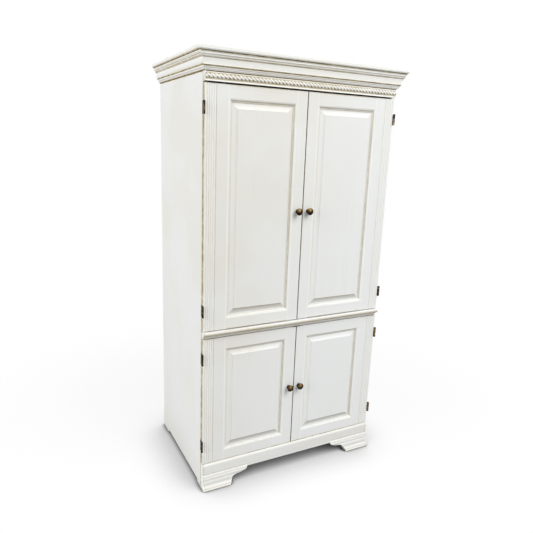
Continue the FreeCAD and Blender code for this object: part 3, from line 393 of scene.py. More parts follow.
def birch_material(name, grain):
    """Clear-finished plywood with long pores and broad figure."""
    tree, shader, own = start_material(name)
    along = vector_calc(tree, "MULTIPLY", own["Object"], grain)["Vector"]
    figure = noise(tree, along, 0.5, 4)
    pores = noise(tree, along, 6, 3, 0.7)
    colour = blend(tree, remap(tree, figure, 0.3, 0.7), tone(222, 196, 152), tone(190, 152, 102))
    colour = blend(tree, remap(tree, pores, 0.6, 0.75, 0, 0.35), colour, tone(132, 96, 58))
    fill(tree, shader, {
        "Specular IOR Level": 0.4, "Base Color": colour, "Roughness": remap(tree, pores, 0.3, 0.7, 0.38, 0.52),
        "Normal": bump(tree, pores, 0.12 * MM, 0.5)})


def make_materials():
    """Every finish of the armoire, by its own name."""
    specks_group()
    paint_group()
    edge_group()
    paint = bpy.context.scene.armoire_paint
    metal = bpy.context.scene.armoire_hardware
    for label, grain in GRAINS.items():
        paint_material("paint_" + label, grain, 0.23, paint.paint, carved_glaze_and_shading)
    paint_material("board_up", GRAINS["up"], 0.16, paint.paint, board_glaze_and_shading, EDGE)
    for label in ("up", "across"):
        paint_material("inside_" + label, GRAINS[label], 0.4, paint.inside, rounded=EDGE)
    birch_material("drawer_birch", GRAINS["back"])
    metal_material("knob_brass", metal.patina, metal.brass, (0.3, 0.45), 0.3 * MM, wear=0.1, knob_highlight=0.5)
    # Hinge patches are partly rubbed brass and partly painted glints, lighter on the right hinges as a painted
    # reflection.
    metal_material("hinge_bronze", metal.bronze, tone(196, 164, 116), (0.34, 0.5), 0.5 * MM, (45, 45, 45), 0.9,
                   mottle=0.9, mottle_end=0.58, reflection_by_side=(0.25, 0.7))
    metal_material("pin_brass", tone(196, 164, 104), tone(226, 204, 150), (0.22, 0.34), 0.4 * MM)
    metal_material("slide_zinc", tone(168, 171, 174), tone(212, 214, 216), (0.25, 0.4), 0.4 * MM, (400, 8, 400))
    plastic_material("moulded_plastic", (0.012, 0.012, 0.013, 1), (0.0216, 0.0216, 0.0234, 1))


# ---- shape helpers
FADE = 0.16  # share of a run in which the glaze of its end fades out
FADE_POWER = 1.5
RAMP = 0.2  # share of a run in which the glaze of its middle builds up
ARC_STEPS = 10


def run(start, end, swell, fade=FADE, middle=0):
    """Points after start up to end, on an arc that swells to the left of its way.

    A point is (across, up, glaze). The glaze of both ends fades out within a share of the run, and
    between them the paint has the glaze called middle. Positive glaze is brown glaze deepened into painted
    shade, and negative glaze is paler paint, a painted highlight.
    """
    (x0, y0, first), (x1, y1, last) = start, end
    across, up = x1 - x0, y1 - y0
    turn = 4 * math.atan2(2 * swell, math.hypot(across, up))
    if not (turn or first or last or middle):
        return [end]
    points = []
    for step in range(1, ARC_STEPS + 1):
        share = step / ARC_STEPS
        if turn:
            reach = 0.5 / math.tan(turn / 2)
            x, y = (x0 + x1) / 2 + up * reach, (y0 + y1) / 2 - across * reach
            cos, sin = math.cos(turn * share), -math.sin(turn * share)
            spot = (x + (x0 - x) * cos - (y0 - y) * sin, y + (x0 - x) * sin + (y0 - y) * cos)
        else:
            spot = (x0 + across * share, y0 + up * share)
        near, far = (max(0, 1 - part / fade) ** FADE_POWER for part in (share, 1 - share))
        glaze = first * near + last * far + middle * min(share, 1 - share, RAMP) / RAMP
        points.append((*spot, glaze))
    return points


def section(first, *moves):
    """A section in metres from millimetres: (across, up, glaze) points.

    It takes the first point, then moves of (across, up) or (across, up, glaze, swell), which a fade and a
    middle may follow. A glaze that isn't given is 0.
    """
    points = [(*first, 0)[:3]]
    for across, up, *rest in moves:
        glaze, swell, *glazing = rest or (0, 0)
        points += run(points[-1], (across, up, glaze), swell, *glazing)
    return [(across * MM, up * MM, glaze) for across, up, glaze in points]


def from_table(table, level):
    """Value at a level, between the (level, value) pairs of a table, and the last value past them."""
    for (low, first), (high, second) in zip(table, table[1:]):
        if low <= level <= high:
            return first + (second - first) * (level - low) / (high - low)
    return table[-1][1]


def painted(points, table):
    """A section with points at most 1 mm apart, whose glaze and painted shading follow its height in a table."""
    dense = []
    for (across, up, _), (across_end, up_end, _) in zip(points, points[1:]):
        count = max(1, math.ceil(math.hypot(across_end - across, up_end - up) / MM))
        dense += [(across + (across_end - across) * step / count, up + (up_end - up) * step / count)
                  for step in range(count)]
    dense.append(points[-1][:2])
    return [(across, up, from_table(table, up / MM)) for across, up in dense]


def sweep(points, origin, directions, length, mitres=(0, 0), eased=0, wear=()):
    """Rings of a section along a straight length. directions are across, up and along.

    A mitre of 1 lengthens that end by as much as a point stands across, and -1 shortens it.
    eased rounds the edge between the section's lowest face and both ends. wear lists (share of the
    length, glaze that is added there), which paints highlight and shade along the length.
    """
    across, up, along = directions
    stops = [(0, -mitres[0], 0, 0), (length, mitres[1], 0, 0)]
    if wear:
        stops = [(share * length, 0, 0, more) for share, more in wear]
    if eased:
        corner = [(0, eased), (0.3 * eased, 0.3 * eased), (eased, 0)]
        stops = [(start, 0, floor, 0) for start, floor in corner]
        stops += [(length - start, 0, floor, 0) for start, floor in reversed(corner)]
    return [[(origin + across * a + up * max(u, floor) + along * (start + mitre * a), glaze + more)
             for a, u, glaze in points] for start, mitre, floor, more in stops]


def level_ring(plan, height):
    """Ring of (point, glaze) at a height, from (x, y, glaze)."""
    return [(Vector((x, y, height)), glaze) for x, y, glaze in plan]


def flip(rings, way):
    """Rings mirrored to the left of the cabinet where way is -1."""
    if isinstance(rings[0][0], list):
        return [flip(stack, way) for stack in rings]
    return [[(Vector((point.x * way, point.y, point.z)), glaze) for point, glaze in ring] for ring in rings]


def skin(name, rings):
    """A mesh over rings of (point, glaze with painted shading), each ring joined to the next, with both ends capped.

    rings may hold several stacks, which become one mesh.
    """
    mesh = bpy.data.meshes.new(name)
    bm = bmesh.new()
    layer = bm.verts.layers.float.new("glaze")
    for stack in rings if isinstance(rings[0][0], list) else [rings]:
        loops = [[bm.verts.new(point) for point, _ in ring] for ring in stack]
        for loop, ring in zip(loops, stack):
            for vert, (_, glaze) in zip(loop, ring):
                vert[layer] = glaze
        for here, there in zip(loops, loops[1:]):
            for face in zip(here, here[1:] + here[:1], there[1:] + there[:1], there):
                bm.faces.new(face)
        bm.faces.new(loops[0])
        bm.faces.new(loops[-1])
    bmesh.ops.recalc_face_normals(bm, faces=bm.faces)
    bm.to_mesh(mesh)
    bm.free()
    return mesh


def add_object(name, data):
    """A new object in the scene."""
    added = bpy.data.objects.new(name, data)
    bpy.context.scene.collection.objects.link(added)
    return added


def make_piece(name, rings, nodes, material="paint_across", body="carcass",
               sharp=35, shade_share=None):
    """Builds a piece from rings: smooth shading with flat faces kept flat, its finish and its body.

    The last argument gives, for a vertex, the share of grey painted shade.
    """
    mesh = skin(name, rings)
    if shade_share:
        grime = mesh.attributes.new("grime", "FLOAT", "POINT")
        for vertex, item in zip(mesh.vertices, grime.data):
            item.value = shade_share(vertex)
    piece = add_object(name, mesh)
    mesh.materials.append(bpy.data.materials[material])
    for polygon in mesh.polygons:
        polygon.use_smooth = True
    mesh.set_sharp_from_angle(angle=math.radians(sharp))
    piece.modifiers.new("flat faces", "WEIGHTED_NORMAL").keep_sharp = True
    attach(piece, body)
    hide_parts(*nodes)


def dress(nodes, material):
    """Gives CAD nodes a finish."""
    for name in nodes:
        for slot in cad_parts[name].material_slots:
            slot.material = bpy.data.materials[material]


# ---- crown and frieze
# The glaze tables below pair a height in millimetres above a piece's base with the glaze there.
# Positive values are brown glaze deepened into painted shade, such as the shadows under the crown's beads,
# under the top board and above and below the rope; negative values are paler paint, a painted highlight.
CROWN_GLAZE_AND_SHADING = (
    (0, 0.5), (1.5, 0.2), (2.5, -0.6), (7.5, -1), (8.2, 0), (9, 0), (9.5, -1), (12, -1), (13, 0.4), (14, 1),
    (17.5, 1), (19, 0.4), (20.5, 0.1), (22, -0.6), (24, -1), (41.5, -1), (43, 0.3), (44, 0.9), (45.5, 0.9),
    (46.5, 0.3), (49.5, 0.2), (51.5, 0.25), (52.8, 0.35), (54.5, 0.25), (56.5, -0.3), (58, -1), (61.5, -1),
    (63, 0.4), (64.5, 1.1), (67.5, 1.2))
CROWN_SIDE_GLAZE_AND_SHADING = (
    (0, 1.7), (1.5, 1.3), (2.5, 0.4), (4.5, 0.3), (5.5, 0), (7.5, 0), (8.5, 0.5), (9.5, 0.4), (11, -0.6),
    (13.5, -0.7), (15, 0.4), (17, 1.1), (20, 1.1), (22, 0.4), (25, 0.15), (28, -0.1), (34, -0.5), (40, -0.7),
    (43, -0.7), (44, 0.6), (45.5, 0.9), (46.5, 0.3), (47.5, 0.5), (49, 1.2), (50.5, 1), (51.5, 0), (54, -0.2),
    (55, 0.6), (57, 1.1), (58, 0.4), (59.5, 0), (64, 0), (65.5, 0.4), (67.5, 0.8))
TOP_SIDE_GLAZE_AND_SHADING = (
    (0, 1.2), (2, 0.95), (3.5, 0.65), (5.5, 0.4), (8, 0.1), (10, -0.2), (14, -0.2), (17, 0.2), (19, 0.1))
FRIEZE_GLAZE_AND_SHADING = (
    (0, 1.4), (0.3, 0), (1, -1), (4.5, -1), (6, 0.3), (8, 0.8), (12, 0.9), (28, 0.9), (30.5, 0.7), (31.5, 0.1),
    (32.5, -0.8), (34, -0.6), (35, 0.9), (36, 1.5), (38.4, 1.5), (40, 0))
# glaze added along a length, by share of it: paler paint on the arris at each end, a painted highlight, with a
# darker line beside it
FRIEZE_LENGTH_SHADING = ((0, -0.9), (0.003, 0.2), (0.01, 0), (0.99, 0), (0.997, 0.2), (1, -0.9))
# two beads, a lip, a fascia and three reeds, from the wall outwards and up
CROWN = section(
    (0, 0), (3.5, 0), (3.5, 2.5), (7.5, 8.5, 0, -1.6), (8.5, 9), (12, 16, 0, -1.8), (14, 17), (14.8, 21, 0, -1.6),
    (15, 22), (21.5, 45.5, 0, 0.5), (21.5 + 9.5 / 3, 45.5 + 22 / 3, 0, -1.8), (31 - 9.5 / 3, 67.5 - 22 / 3, 0, -1.8),
    (31, 67.5, 0, -1.8), (0, 67.5))
TOP_CORNER = 5 * MM
ROPE_RINGS, ROPE_POINTS = 12, 16  # rings in one turn of the rope, and steps round its face


def top_section():
    """Edge of the top board from its underside, round the nose, to its upper face."""
    thick = (TOP_HIGH.z - TOP_LOW.z) / MM
    out = (FRIEZE_FACE - TOP_LOW.y) / MM
    return section(
        (0, 0), (30, 0, 1.1, 0), (out - 7, 0, 1.1, 0, 2), (out, 7.9, -0.5, -2.3, 0.45, -0.3),
        (out, thick - 3.5, -0.3, 0, 1), (out - 3.5, thick, 0.1, -1, 1))


def frieze_section():
    """The frieze below the crown: an eased lower edge and a flat face."""
    face = (CARCASS_FRONT - FRIEZE_FACE) / MM
    top = (FRIEZE_HIGH.z - FRIEZE_LOW.z) / MM
    return painted(section((0, 0), (face - 1, 0), (face, 1, 0, -0.3), (face, top), (0, top)), FRIEZE_GLAZE_AND_SHADING)


class ARMOIRE_OT_crown(bpy.types.Operator):
    """Build the mitred crown mouldings and the top board"""
    bl_idname = "armoire.crown"
    bl_label = "Crown and top"

    def execute(self, context):
        corner = Vector((-HALF_WIDTH, FRIEZE_FACE, CROWN_BOTTOM))
        rings = sweep(painted(CROWN, CROWN_GLAZE_AND_SHADING), corner, ALONG_FRONT, WIDTH, (1, 1))
        make_piece("crown_front", rings, ["front_crown"])
        corner = Vector((HALF_WIDTH, FRIEZE_FACE, CROWN_BOTTOM))
        deep = CARCASS_BACK - FRIEZE_FACE
        rings = sweep(painted(CROWN, CROWN_SIDE_GLAZE_AND_SHADING), corner, (RIGHT, UP, BACK), deep, (1, 0))
        for side, way in SIDES.items():
            make_piece("crown_" + side, flip(rings, way), [side + "_crown"], "paint_back")
        rings = []
        for out, rise, glaze in top_section():
            x, y, z = HALF_WIDTH + out, FRIEZE_FACE - out, TOP_LOW.z + rise
            side = from_table(TOP_SIDE_GLAZE_AND_SHADING, rise / MM)
            rings.append(level_ring([
                (-x, y, glaze), (x, y, glaze), (x, y + TOP_CORNER, side), (x, CARCASS_BACK, side),
                (-x, CARCASS_BACK, side), (-x, y + TOP_CORNER, side)], z))
        make_piece("top_slab", rings, ["top_board"], sharp=40)
        return {"FINISHED"}


def rope_glaze_and_shading(strand, rise):
    """Glaze of the rope: strand is 0 in a groove and 1 on a strand, rise -1 at its foot and 1 at its head.
    The grooves darken towards the lower half and at the foot, painted shade over the glaze, and the crests are
    paler, a painted highlight.
    """
    valley = max(0, 1 - strand * 1.35)
    low = min(1, max(0, -0.3 - 1.6 * rise))
    high = min(1, max(0, 2.2 * rise - 0.7))
    foot = max(0, -3 - 4 * rise)
    rubbed_and_highlight = 1.4 * max(0, strand - 0.35) * (1 - 0.75 * low) * (1 - 0.8 * high)
    return valley * (0.8 + 1.4 * low + high) + 0.25 * foot + 0.35 * high - rubbed_and_highlight


class ARMOIRE_OT_frieze(bpy.types.Operator):
    """Build the rope moulding and the frieze that it sits on"""
    bl_idname = "armoire.frieze"
    bl_label = "Frieze and rope"

    def execute(self, context):
        settings = context.scene.armoire_moulding
        radius = (ROPE_HIGH.z - ROPE_LOW.z) / 2
        centre = Vector((0, ROPE_LOW.y + radius, (ROPE_LOW.z + ROPE_HIGH.z) / 2))
        half_turn = math.acos((radius - (FRIEZE_FACE - ROPE_LOW.y)) / radius)
        turns = round(WIDTH / settings.rope_pitch)
        pitch = WIDTH / turns
        rings = []
        for step in range(turns * ROPE_RINGS + 1):
            x = -HALF_WIDTH + step * pitch / ROPE_RINGS
            ring = []
            for index in range(ROPE_POINTS + 1):
                angle = half_turn * (1 - 2 * index / ROPE_POINTS)
                phase = ((x + radius * math.sin(angle)) / pitch) % 1
                strand = math.sin(math.pi * phase) ** 0.8
                reach = radius - settings.rope_depth * (1 - strand) * math.cos(angle * 0.8)
                point = centre + Vector((x, -reach * math.cos(angle), reach * math.sin(angle)))
                point.y = min(point.y, FRIEZE_FACE)
                ring.append((point, rope_glaze_and_shading(strand, math.sin(angle) / math.sin(half_turn))))
            for z in (ROPE_LOW.z, ROPE_HIGH.z):
                ring.append((Vector((x, FRIEZE_FACE, (z + centre.z) / 2)), 0))
            rings.append(ring)
        make_piece("rope", rings, ["rope_moulding"], sharp=70)
        origin = Vector((-HALF_WIDTH, CARCASS_FRONT, FRIEZE_LOW.z))
        rings = sweep(frieze_section(), origin, ALONG_FRONT, WIDTH, wear=FRIEZE_LENGTH_SHADING)
        make_piece("frieze", rings, ["frieze_rail"])
        return {"FINISHED"}


# Grey painted shade on the lower half of the moulding's nose, by height.
MID_SHADE = ((0, 0), (15, 0), (16.5, 0.5), (18, 1), (24, 1), (26.5, 0.5), (28, 0))


class ARMOIRE_OT_mid_moulding(bpy.types.Operator):
    """Build the moulding between the upper and the lower doors"""
    bl_idname = "armoire.mid_moulding"
    bl_label = "Middle moulding"

    def execute(self, context):
        nose = (MID_LOW.y - CARCASS_FRONT) / MM
        top = (MID_HIGH.z - MID_LOW.z) / MM
        points = section(
            (0, 0), (4 - DOOR_OUT, 0, -1, 0), (nose + 6, 15, 1, -3, 0.5, 0), (nose + 3, 16, 1, 0, 1),
            (nose + 4, top - 4, 0, 4, 0.9, 0.3), (nose + 7, top - 4, 0.1, 0, 1), (nose + 11, top, 0.1, 1.2),
            (0, top, 0.9, 0))
        origin = Vector((-HALF_WIDTH, CARCASS_FRONT, MID_LOW.z))
        make_piece("moulding_middle", sweep(points, origin, (BACK, UP, RIGHT), WIDTH), ["mid_moulding"],
                   shade_share=lambda vertex: from_table(MID_SHADE, (vertex.co.z - MID_LOW.z) / MM))
        return {"FINISHED"}


# ---- base
FOOT_GLAZE_AND_SHADING = (
    (0, 1.2), (2, 0.5), (4, -0.2), (6, -0.4), (12, -0.4), (13.5, 0.35), (15, 0.2), (18, 0), (46, 0), (48.5, -1),
    (61, -1), (62.5, 0.25), (63.5, 0.25), (66, -0.8), (70, -0.6), (73, 0.25), (77, 0.3))
# Grey painted shade on the foot's flare and its top bead, by height.
FOOT_SHADE = (
    (0, 0), (14, 0.2), (19, 0.2), (23, 0.7), (26, 0.9), (31, 0.5), (37, 0), (70, 0), (73, 0.4), (77, 0.4))
# Along the apron: a painted highlight on the arris at each end, a darker line beside it, and slightly darker towards
# the right.
APRON_LENGTH_SHADING = ((0, -0.5), (0.003, 0.6), (0.01, -0.1), (0.3, 0), (0.6, 0.1), (0.99, 0.12), (0.997, 0.6), (1, -0.5))
# (height, how far the foot reaches along the front from the cabinet's side) up its scrolled end
FOOT_SCROLL = [(up, across) for across, up, _ in section(
    (134, 0), (141, 17), (174, 37, 0, 6), (217, 50, 0, -3.5), (227, 61, 0, -3), (227, 78))]
LEDGE_HEIGHT = 10.5  # of the slope on top of the base rail, in millimetres


def foot_levels():
    """(height, forward of the carcass front, glaze) up the moulded face of a foot, in metres."""
    toe = (CARCASS_FRONT - FOOT_LOW.y) / MM
    bead = DOOR_OUT + 9
    points = section(
        (toe - 0.6, 0), (toe, 0.6), (toe, 5), (toe - 1, 13, 0, 1.5), (toe - 3, 14), (bead - 5, 40, 0, 2.5),
        (bead - 2, 62, 0, -1.5), (bead, 63), (bead, 70, 0, 1.5), (bead - 4, 77, 0, 1.5))
    return [(up, out, from_table(FOOT_GLAZE_AND_SHADING, up / MM)) for out, up, _ in points]


class ARMOIRE_OT_base(bpy.types.Operator):
    """Build the base rail and the bracket feet"""
    bl_idname = "armoire.base"
    bl_label = "Base and feet"

    def execute(self, context):
        face = (CARCASS_FRONT - RAIL_LOW.y) / MM
        top = (RAIL_HIGH.z - RAIL_LOW.z) / MM
        notch = (FOOT_HIGH.z - RAIL_LOW.z) / MM
        upper = section(
            (0, notch), (face, notch, 0.1, 0), (face, top - LEDGE_HEIGHT, -0.2, 0, 0.1),
            (DOOR_OUT - 3, top, 1, -1, 0.4), (0, top, 0.9, 0))
        lower = section((0, 0), (face - 0.8, 0, 0.2, 0), (face, 0.8, 0, -0.2), (face, notch), (0, notch))
        foot_wing = FOOT_HIGH.x - FOOT_LOW.x
        start = Vector((-HALF_WIDTH, CARCASS_FRONT, RAIL_LOW.z))
        stacks = [sweep(upper, start, ALONG_FRONT, WIDTH, wear=APRON_LENGTH_SHADING),
                  sweep(lower, start + RIGHT * foot_wing, ALONG_FRONT, 2 * (HALF_WIDTH - foot_wing))]
        make_piece("apron", stacks, ["base_rail"])
        rings = []
        for height, out, glaze in foot_levels():
            inner = HALF_WIDTH - from_table(FOOT_SCROLL, height)
            front = CARCASS_FRONT - out
            # The corner and scroll edges of a foot's face are paler, a painted highlight, with a darker line beside
            # the corner.
            rings.append(level_ring([
                (HALF_WIDTH, front, -1), (HALF_WIDTH - 4 * MM, front, glaze + 0.4),
                (HALF_WIDTH - 9 * MM, front, glaze), (inner + 5 * MM, front, glaze), (inner, front, -1),
                (inner, CARCASS_FRONT, 0), (HALF_WIDTH, CARCASS_FRONT, 0)], height))
        for side, way in SIDES.items():
            make_piece("foot_" + side, flip(rings, way), [side + "_bracket_foot"],
                       shade_share=lambda vertex: from_table(FOOT_SHADE, vertex.co.z / MM))
        return {"FINISHED"}


# ---- doors
# glaze left on the sticking, along the raised field and on the slope, by the side of the opening; it differs
# with how light falls: painted shade on the top sticking and along the bottom of the field, a painted highlight on
# the left slope
SIDE_GLAZE_AND_SHADING = {"top": (0.42, 0, -0.05), "right": (0.5, 0.05, 0), "bottom": (0.15, 0.7, 0),
              "left": (0.25, 0.45, -0.5)}
# The gap glaze also paints the shade in the gaps above and below the doors.
GAP_GLAZE_AND_SHADE = {"upper": 1.2, "lower": 0.2}  # on the edges between a door and what is above and below it
# Grey painted shade on the lower slope of each raised panel, which faces down.
LOW_SLOPE_SHADE = 0.45
# in millimetres, from the face of the door or from where its flat frame ends
STICKING_WIDTH, SLOPE_DEPTH, FIELD_DEPTH = 15, 9.5, 2
PANEL_START, PANEL_BACK = 6, 15.5
QUIRK = 1.6  # groove beside the reeds of a hinge stile
SLOPE_FACETS = 10
SIDE_ENDS = (0.004, 0.996)  # shares of a panel's side that keep its glaze apart from the next side's


# In the door sections below, positive glaze is brown glaze deepened into painted shade in the gaps and on faces that
# turn down, and negative glaze is a painted highlight on the arrises.
def sticking_section(amount):
    """Moulded inner edge of a door frame: (inward, depth behind the face)."""
    return section(
        (0, 1.5, -1), (8.5, 5, 1.2 * amount, -1.3, 0.5), (8.5, 6.5, amount, 0, 1),
        (STICKING_WIDTH, 7.7, 1.2 * amount, 0, 0.6, 0.5 * amount), (STICKING_WIDTH, SLOPE_DEPTH, 0.6, 0),
        (0, SLOPE_DEPTH))


def lock_stile_section(width):
    """Plan of a plain stile from its outer edge: (inward, depth)."""
    return section(
        (0, DOOR_THICK, 0.2), (0, 10, 0.2, 0), (0, 1.2, 1.3, 0, 0.9, 1.5), (1.2, 0, 1, 0.35), (2.6, 0, -0.4, 0, 1),
        (6, 0, 0, 0, 1), (width, 0, -0.5, 0, 0.08), (width, DOOR_THICK))


def hinge_stile_section(settings, width):
    """Plan of a reeded stile from its outer edge: (inward, depth)."""
    depth = settings.reed_depth / MM
    band = settings.reed_band / MM
    step = (band - QUIRK / 2) / settings.reeds
    reeds = [(index * step, depth, 0.5, -depth, 0.2, -0.2) for index in range(1, settings.reeds + 1)]
    return section(
        (0, DOOR_THICK, 1.4), (0, depth, 0.35, 0, 0.25, 0.9), *reeds,
        (band + QUIRK / 2, depth, 0.5, 0, 1), (band + QUIRK / 2, 0, 0.1, 0),
        (width, 0, -0.5, 0, 0.08), (width, DOOR_THICK))


def rail_section(width, glaze):
    """Section of a rail from its outer edge: (inward, depth), with that edge eased."""
    edge = EDGE / MM
    return section(
        (0, DOOR_THICK), (0, edge, glaze, 0, 1, glaze), (edge, 0, glaze - 0.6, 0.3 * edge),
        (width, 0, -0.5, 0, 0.08), (width, DOOR_THICK))


def panel_rings(left, right, low, high, settings, sides):
    """Rings of a raised panel, from its groove up the hollow slope to the field.

    sides names the bottom, right, top and left side, whose glaze and painted shading differ with how light falls on
    each.
    """
    start, sunk, flat = STICKING_WIDTH * MM, SLOPE_DEPTH * MM, FIELD_DEPTH * MM
    rise = flat + settings.field_step - sunk
    field = start + settings.bevel
    # (inset, depth, share of the sticking's glaze, of the field's and of the slope's)
    steps = [(PANEL_START * MM, PANEL_BACK * MM, 0, 0, 0), (PANEL_START * MM, sunk, 0, 0, 0),
             (start - 1 * MM, sunk, 0.6, 0, 0)]
    for facet in range(SLOPE_FACETS + 1):
        share = facet / SLOPE_FACETS
        hollow = 4 * settings.hollow * share * (1 - share)
        steps.append((start + settings.bevel * share, sunk + rise * share + hollow, 0.4 * max(0, 1 - 8 * share),
                      max(0, 1 - (1 - share) / 0.7) ** FADE_POWER, min(1, 6 * share)))
    steps += [(field, flat + 0.4 * MM, 0, 0.8, 0.5), (field + 0.4 * MM, flat, 0, 0, 0)]
    rings = []
    for inset, depth, *shares in steps:
        x, z = (left + inset, right - inset), (low + inset, high - inset)
        plan = [(x[0], z[0]), (x[1], z[0]), (x[1], z[1]), (x[0], z[1])]
        ring = []
        for (x0, z0), (x1, z1), side in zip(plan, plan[1:] + plan[:1], sides):
            glaze = sum(share * amount for share, amount in zip(shares, SIDE_GLAZE_AND_SHADING[side]))
            ring += [(Vector((x0 + (x1 - x0) * end, DOOR_FRONT + depth, z0 + (z1 - z0) * end)), glaze)
                     for end in SIDE_ENDS]
        rings.append(ring)
    return rings


def door_pieces(door, settings):
    """Builds the wood of one door, as a right-hand door that is flipped for the left."""
    level, side, _ = door.split("_")
    way = SIDES[side]
    inner_side, outer_side = ("left", "right") if way == 1 else ("right", "left")
    stile_low, stile_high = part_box(level + "_right_hinge_stile")
    panel_low, panel_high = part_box(level + "_right_panel")
    start = PANEL_START * MM
    left, right, low, high = panel_low.x - start, panel_high.x + start, panel_low.z - start, panel_high.z + start
    inner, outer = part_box(level + "_right_lock_stile")[0].x, stile_high.x
    bottom, top = stile_low.z, stile_high.z

    def plain(points, x, z, across, along, length, **ends):
        return sweep(points, Vector((x, DOOR_FRONT, z)), (across, BACK, along), length, **ends)

    def sticking(side_name, *where):
        return plain(sticking_section(SIDE_GLAZE_AND_SHADING[side_name][0]), *where, mitres=(-1, -1))

    made = {}
    for piece, points, outside, inside, across, side_name in (
            ("hinge_stile", hinge_stile_section(settings, (outer - right) / MM), outer, right, LEFT, outer_side),
            ("lock_stile", lock_stile_section((left - inner) / MM), inner, left, RIGHT, inner_side)):
        made[piece] = [plain(points, outside, bottom, across, UP, top - bottom, eased=EDGE),
                       sticking(side_name, inside, low, across, UP, high - low)]
    made["rails"] = [
        plain(rail_section((low - bottom) / MM, GAP_GLAZE_AND_SHADE[level]), left, bottom, UP, RIGHT, right - left),
        plain(rail_section((top - high) / MM, GAP_GLAZE_AND_SHADE[level]), left, top, -UP, RIGHT, right - left),
        sticking("bottom", left, low, UP, RIGHT, right - left),
        sticking("top", left, high, -UP, RIGHT, right - left)]
    for piece, stacks in made.items():
        make_piece(door + piece + "_wood", flip(stacks, way), [door + piece],
                   "paint_across" if piece == "rails" else "paint_up", door + "door")
    rings = panel_rings(left, right, low, high, settings, ("bottom", outer_side, "top", inner_side))
    count = len(rings[0])

    # Grey painted shade on the lower slope of the panel, which faces down.
    def shade_share(vertex):
        ring, place_in_ring = divmod(vertex.index, count)
        return LOW_SLOPE_SHADE if 3 <= ring < len(rings) - 2 and place_in_ring < len(SIDE_ENDS) else 0

    make_piece(door + "panel_wood", flip(rings, way), [door + "panel"], "paint_up", door + "door", sharp=20,
               shade_share=shade_share)


class ARMOIRE_OT_doors(bpy.types.Operator):
    """Build the four raised-panel doors"""
    bl_idname = "armoire.doors"
    bl_label = "Doors"

    def execute(self, context):
        for door in DOORS:
            door_pieces(door, context.scene.armoire_door)
        return {"FINISHED"}


# ---- hardware
KNOB_STEPS = 48
# (radius, forward) from the knob's foot, up its neck and over its head
KNOB = section(
    (9.4, 0, 1), (10, 0.6, 0.2, 0.2), (10, 1.4), (9, 2.4, 0.6, -0.3), (6, 7, 0.3, 1.2), (6, 11, 0.5, 0.2),
    (13, 17.5, 0.4, 1), (16, 20.5, 0, -0.9), (15.6, 21.9, 0, -0.2), (12.6, 24.6, 0, -0.5), (11.6, 24.7, 0.8, 0),
    (0.4, 27.95, 0, -1.2))


def turned(centre, outline):
    """Rings of a piece turned round a line that runs forward from centre."""
    angles = [2 * math.pi * index / KNOB_STEPS for index in range(KNOB_STEPS)]
    return [[(centre + FRONT * forward + RIGHT * (radius * math.cos(angle)) + UP * (radius * math.sin(angle)),
              glaze) for angle in angles] for radius, forward, glaze in outline]


class ARMOIRE_OT_knobs(bpy.types.Operator):
    """Build the turned brass knobs"""
    bl_idname = "armoire.knobs"
    bl_label = "Knobs"

    def execute(self, context):
        for door in DOORS:
            low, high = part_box(door + "knob")
            centre = Vector(((low.x + high.x) / 2, DOOR_FRONT, (low.z + high.z) / 2))
            make_piece(door + "knob_brass", turned(centre, KNOB), [door + "knob"], "knob_brass", door + "door",
                       sharp=50)
        return {"FINISHED"}


class ARMOIRE_OT_hinges(bpy.types.Operator):
    """Finish the hinges, catches and strike plates"""
    bl_idname = "armoire.hinges"
    bl_label = "Hinges and catches"

    def execute(self, context):
        dress([door + "fittings" for door in DOORS] + ["hinge_cabinet_leaves", "hinge_pins"], "hinge_bronze")
        dress(["door_catches", "cable_grommets"], "moulded_plastic")
        dress(["shelf_pins"], "pin_brass")
        return {"FINISHED"}


# ---- carcass and pull-outs
class ARMOIRE_OT_carcass(bpy.types.Operator):
    """Finish the side panels, boards and back"""
    bl_idname = "armoire.carcass"
    bl_label = "Carcass"

    def execute(self, context):
        dress(["left_side_panel", "right_side_panel"], "board_up")
        dress(["upper_back_panel", "lower_back_panel", "lower_partition", "tray_divider"], "inside_up")
        dress(["carcass_floor", "carcass_roof", "desk_deck", "monitor_shelf", "upper_shelf", "lower_shelf",
               "mid_rail"], "inside_across")
        return {"FINISHED"}


class ARMOIRE_OT_pull_outs(bpy.types.Operator):
    """Finish the trays, the drawer and their slides"""
    bl_idname = "armoire.pull_outs"
    bl_label = "Trays and drawer"

    def execute(self, context):
        dress(["keyboard_tray", "printer_tray", "supply_drawer_front"], "inside_across")
        dress(["supply_drawer_box"], "drawer_birch")
        dress(["slide_cabinet_members", "keyboard_tray_slides", "printer_tray_slides", "supply_drawer_slides"],
              "slide_zinc")
        return {"FINISHED"}


# ---- stage
CAMERA_PLACE = Vector((-1.1960, -2.25695, 1.5873))
CAMERA_ANGLES = (27.485, -13.575, 2.113)  # yaw, pitch and roll
WHITE = (1, 1, 1, 1)
SKY_COLOUR = (0.96, 0.98, 1, 1)
FLOOR_REACH = 60
# The floor's glow carries its contact shadow, painted by ambient occlusion.
FLOOR_GLOW = 0.87  # share of the floor's own glow
FLOOR_FADE = (0.7, 2.2)  # distances between which the floor turns plain white
# name, place, what it faces, size and colour
LIGHTS = (("key", (2.3, -3.9, 5.9), (0, -0.3, 1), 3.4, (1, 1, 0.99)),
          ("front", (2.8, -7.6, 4.4), (0, -0.3, 1), 4.2, (1, 1, 0.99)),
          ("side", (-6.5, -0.8, 3.2), (-0.4, 0, 1), 4, (0.98, 0.99, 1)))


def camera_turn():
    """Rotation that looks along the yaw and pitch, then rolls about the line of sight."""
    yaw, pitch, roll = map(math.radians, CAMERA_ANGLES)
    level = Matrix.Rotation(-yaw, 4, "Z") @ Matrix.Rotation(math.pi / 2 + pitch, 4, "X")
    return level @ Matrix.Rotation(roll, 4, "Z")


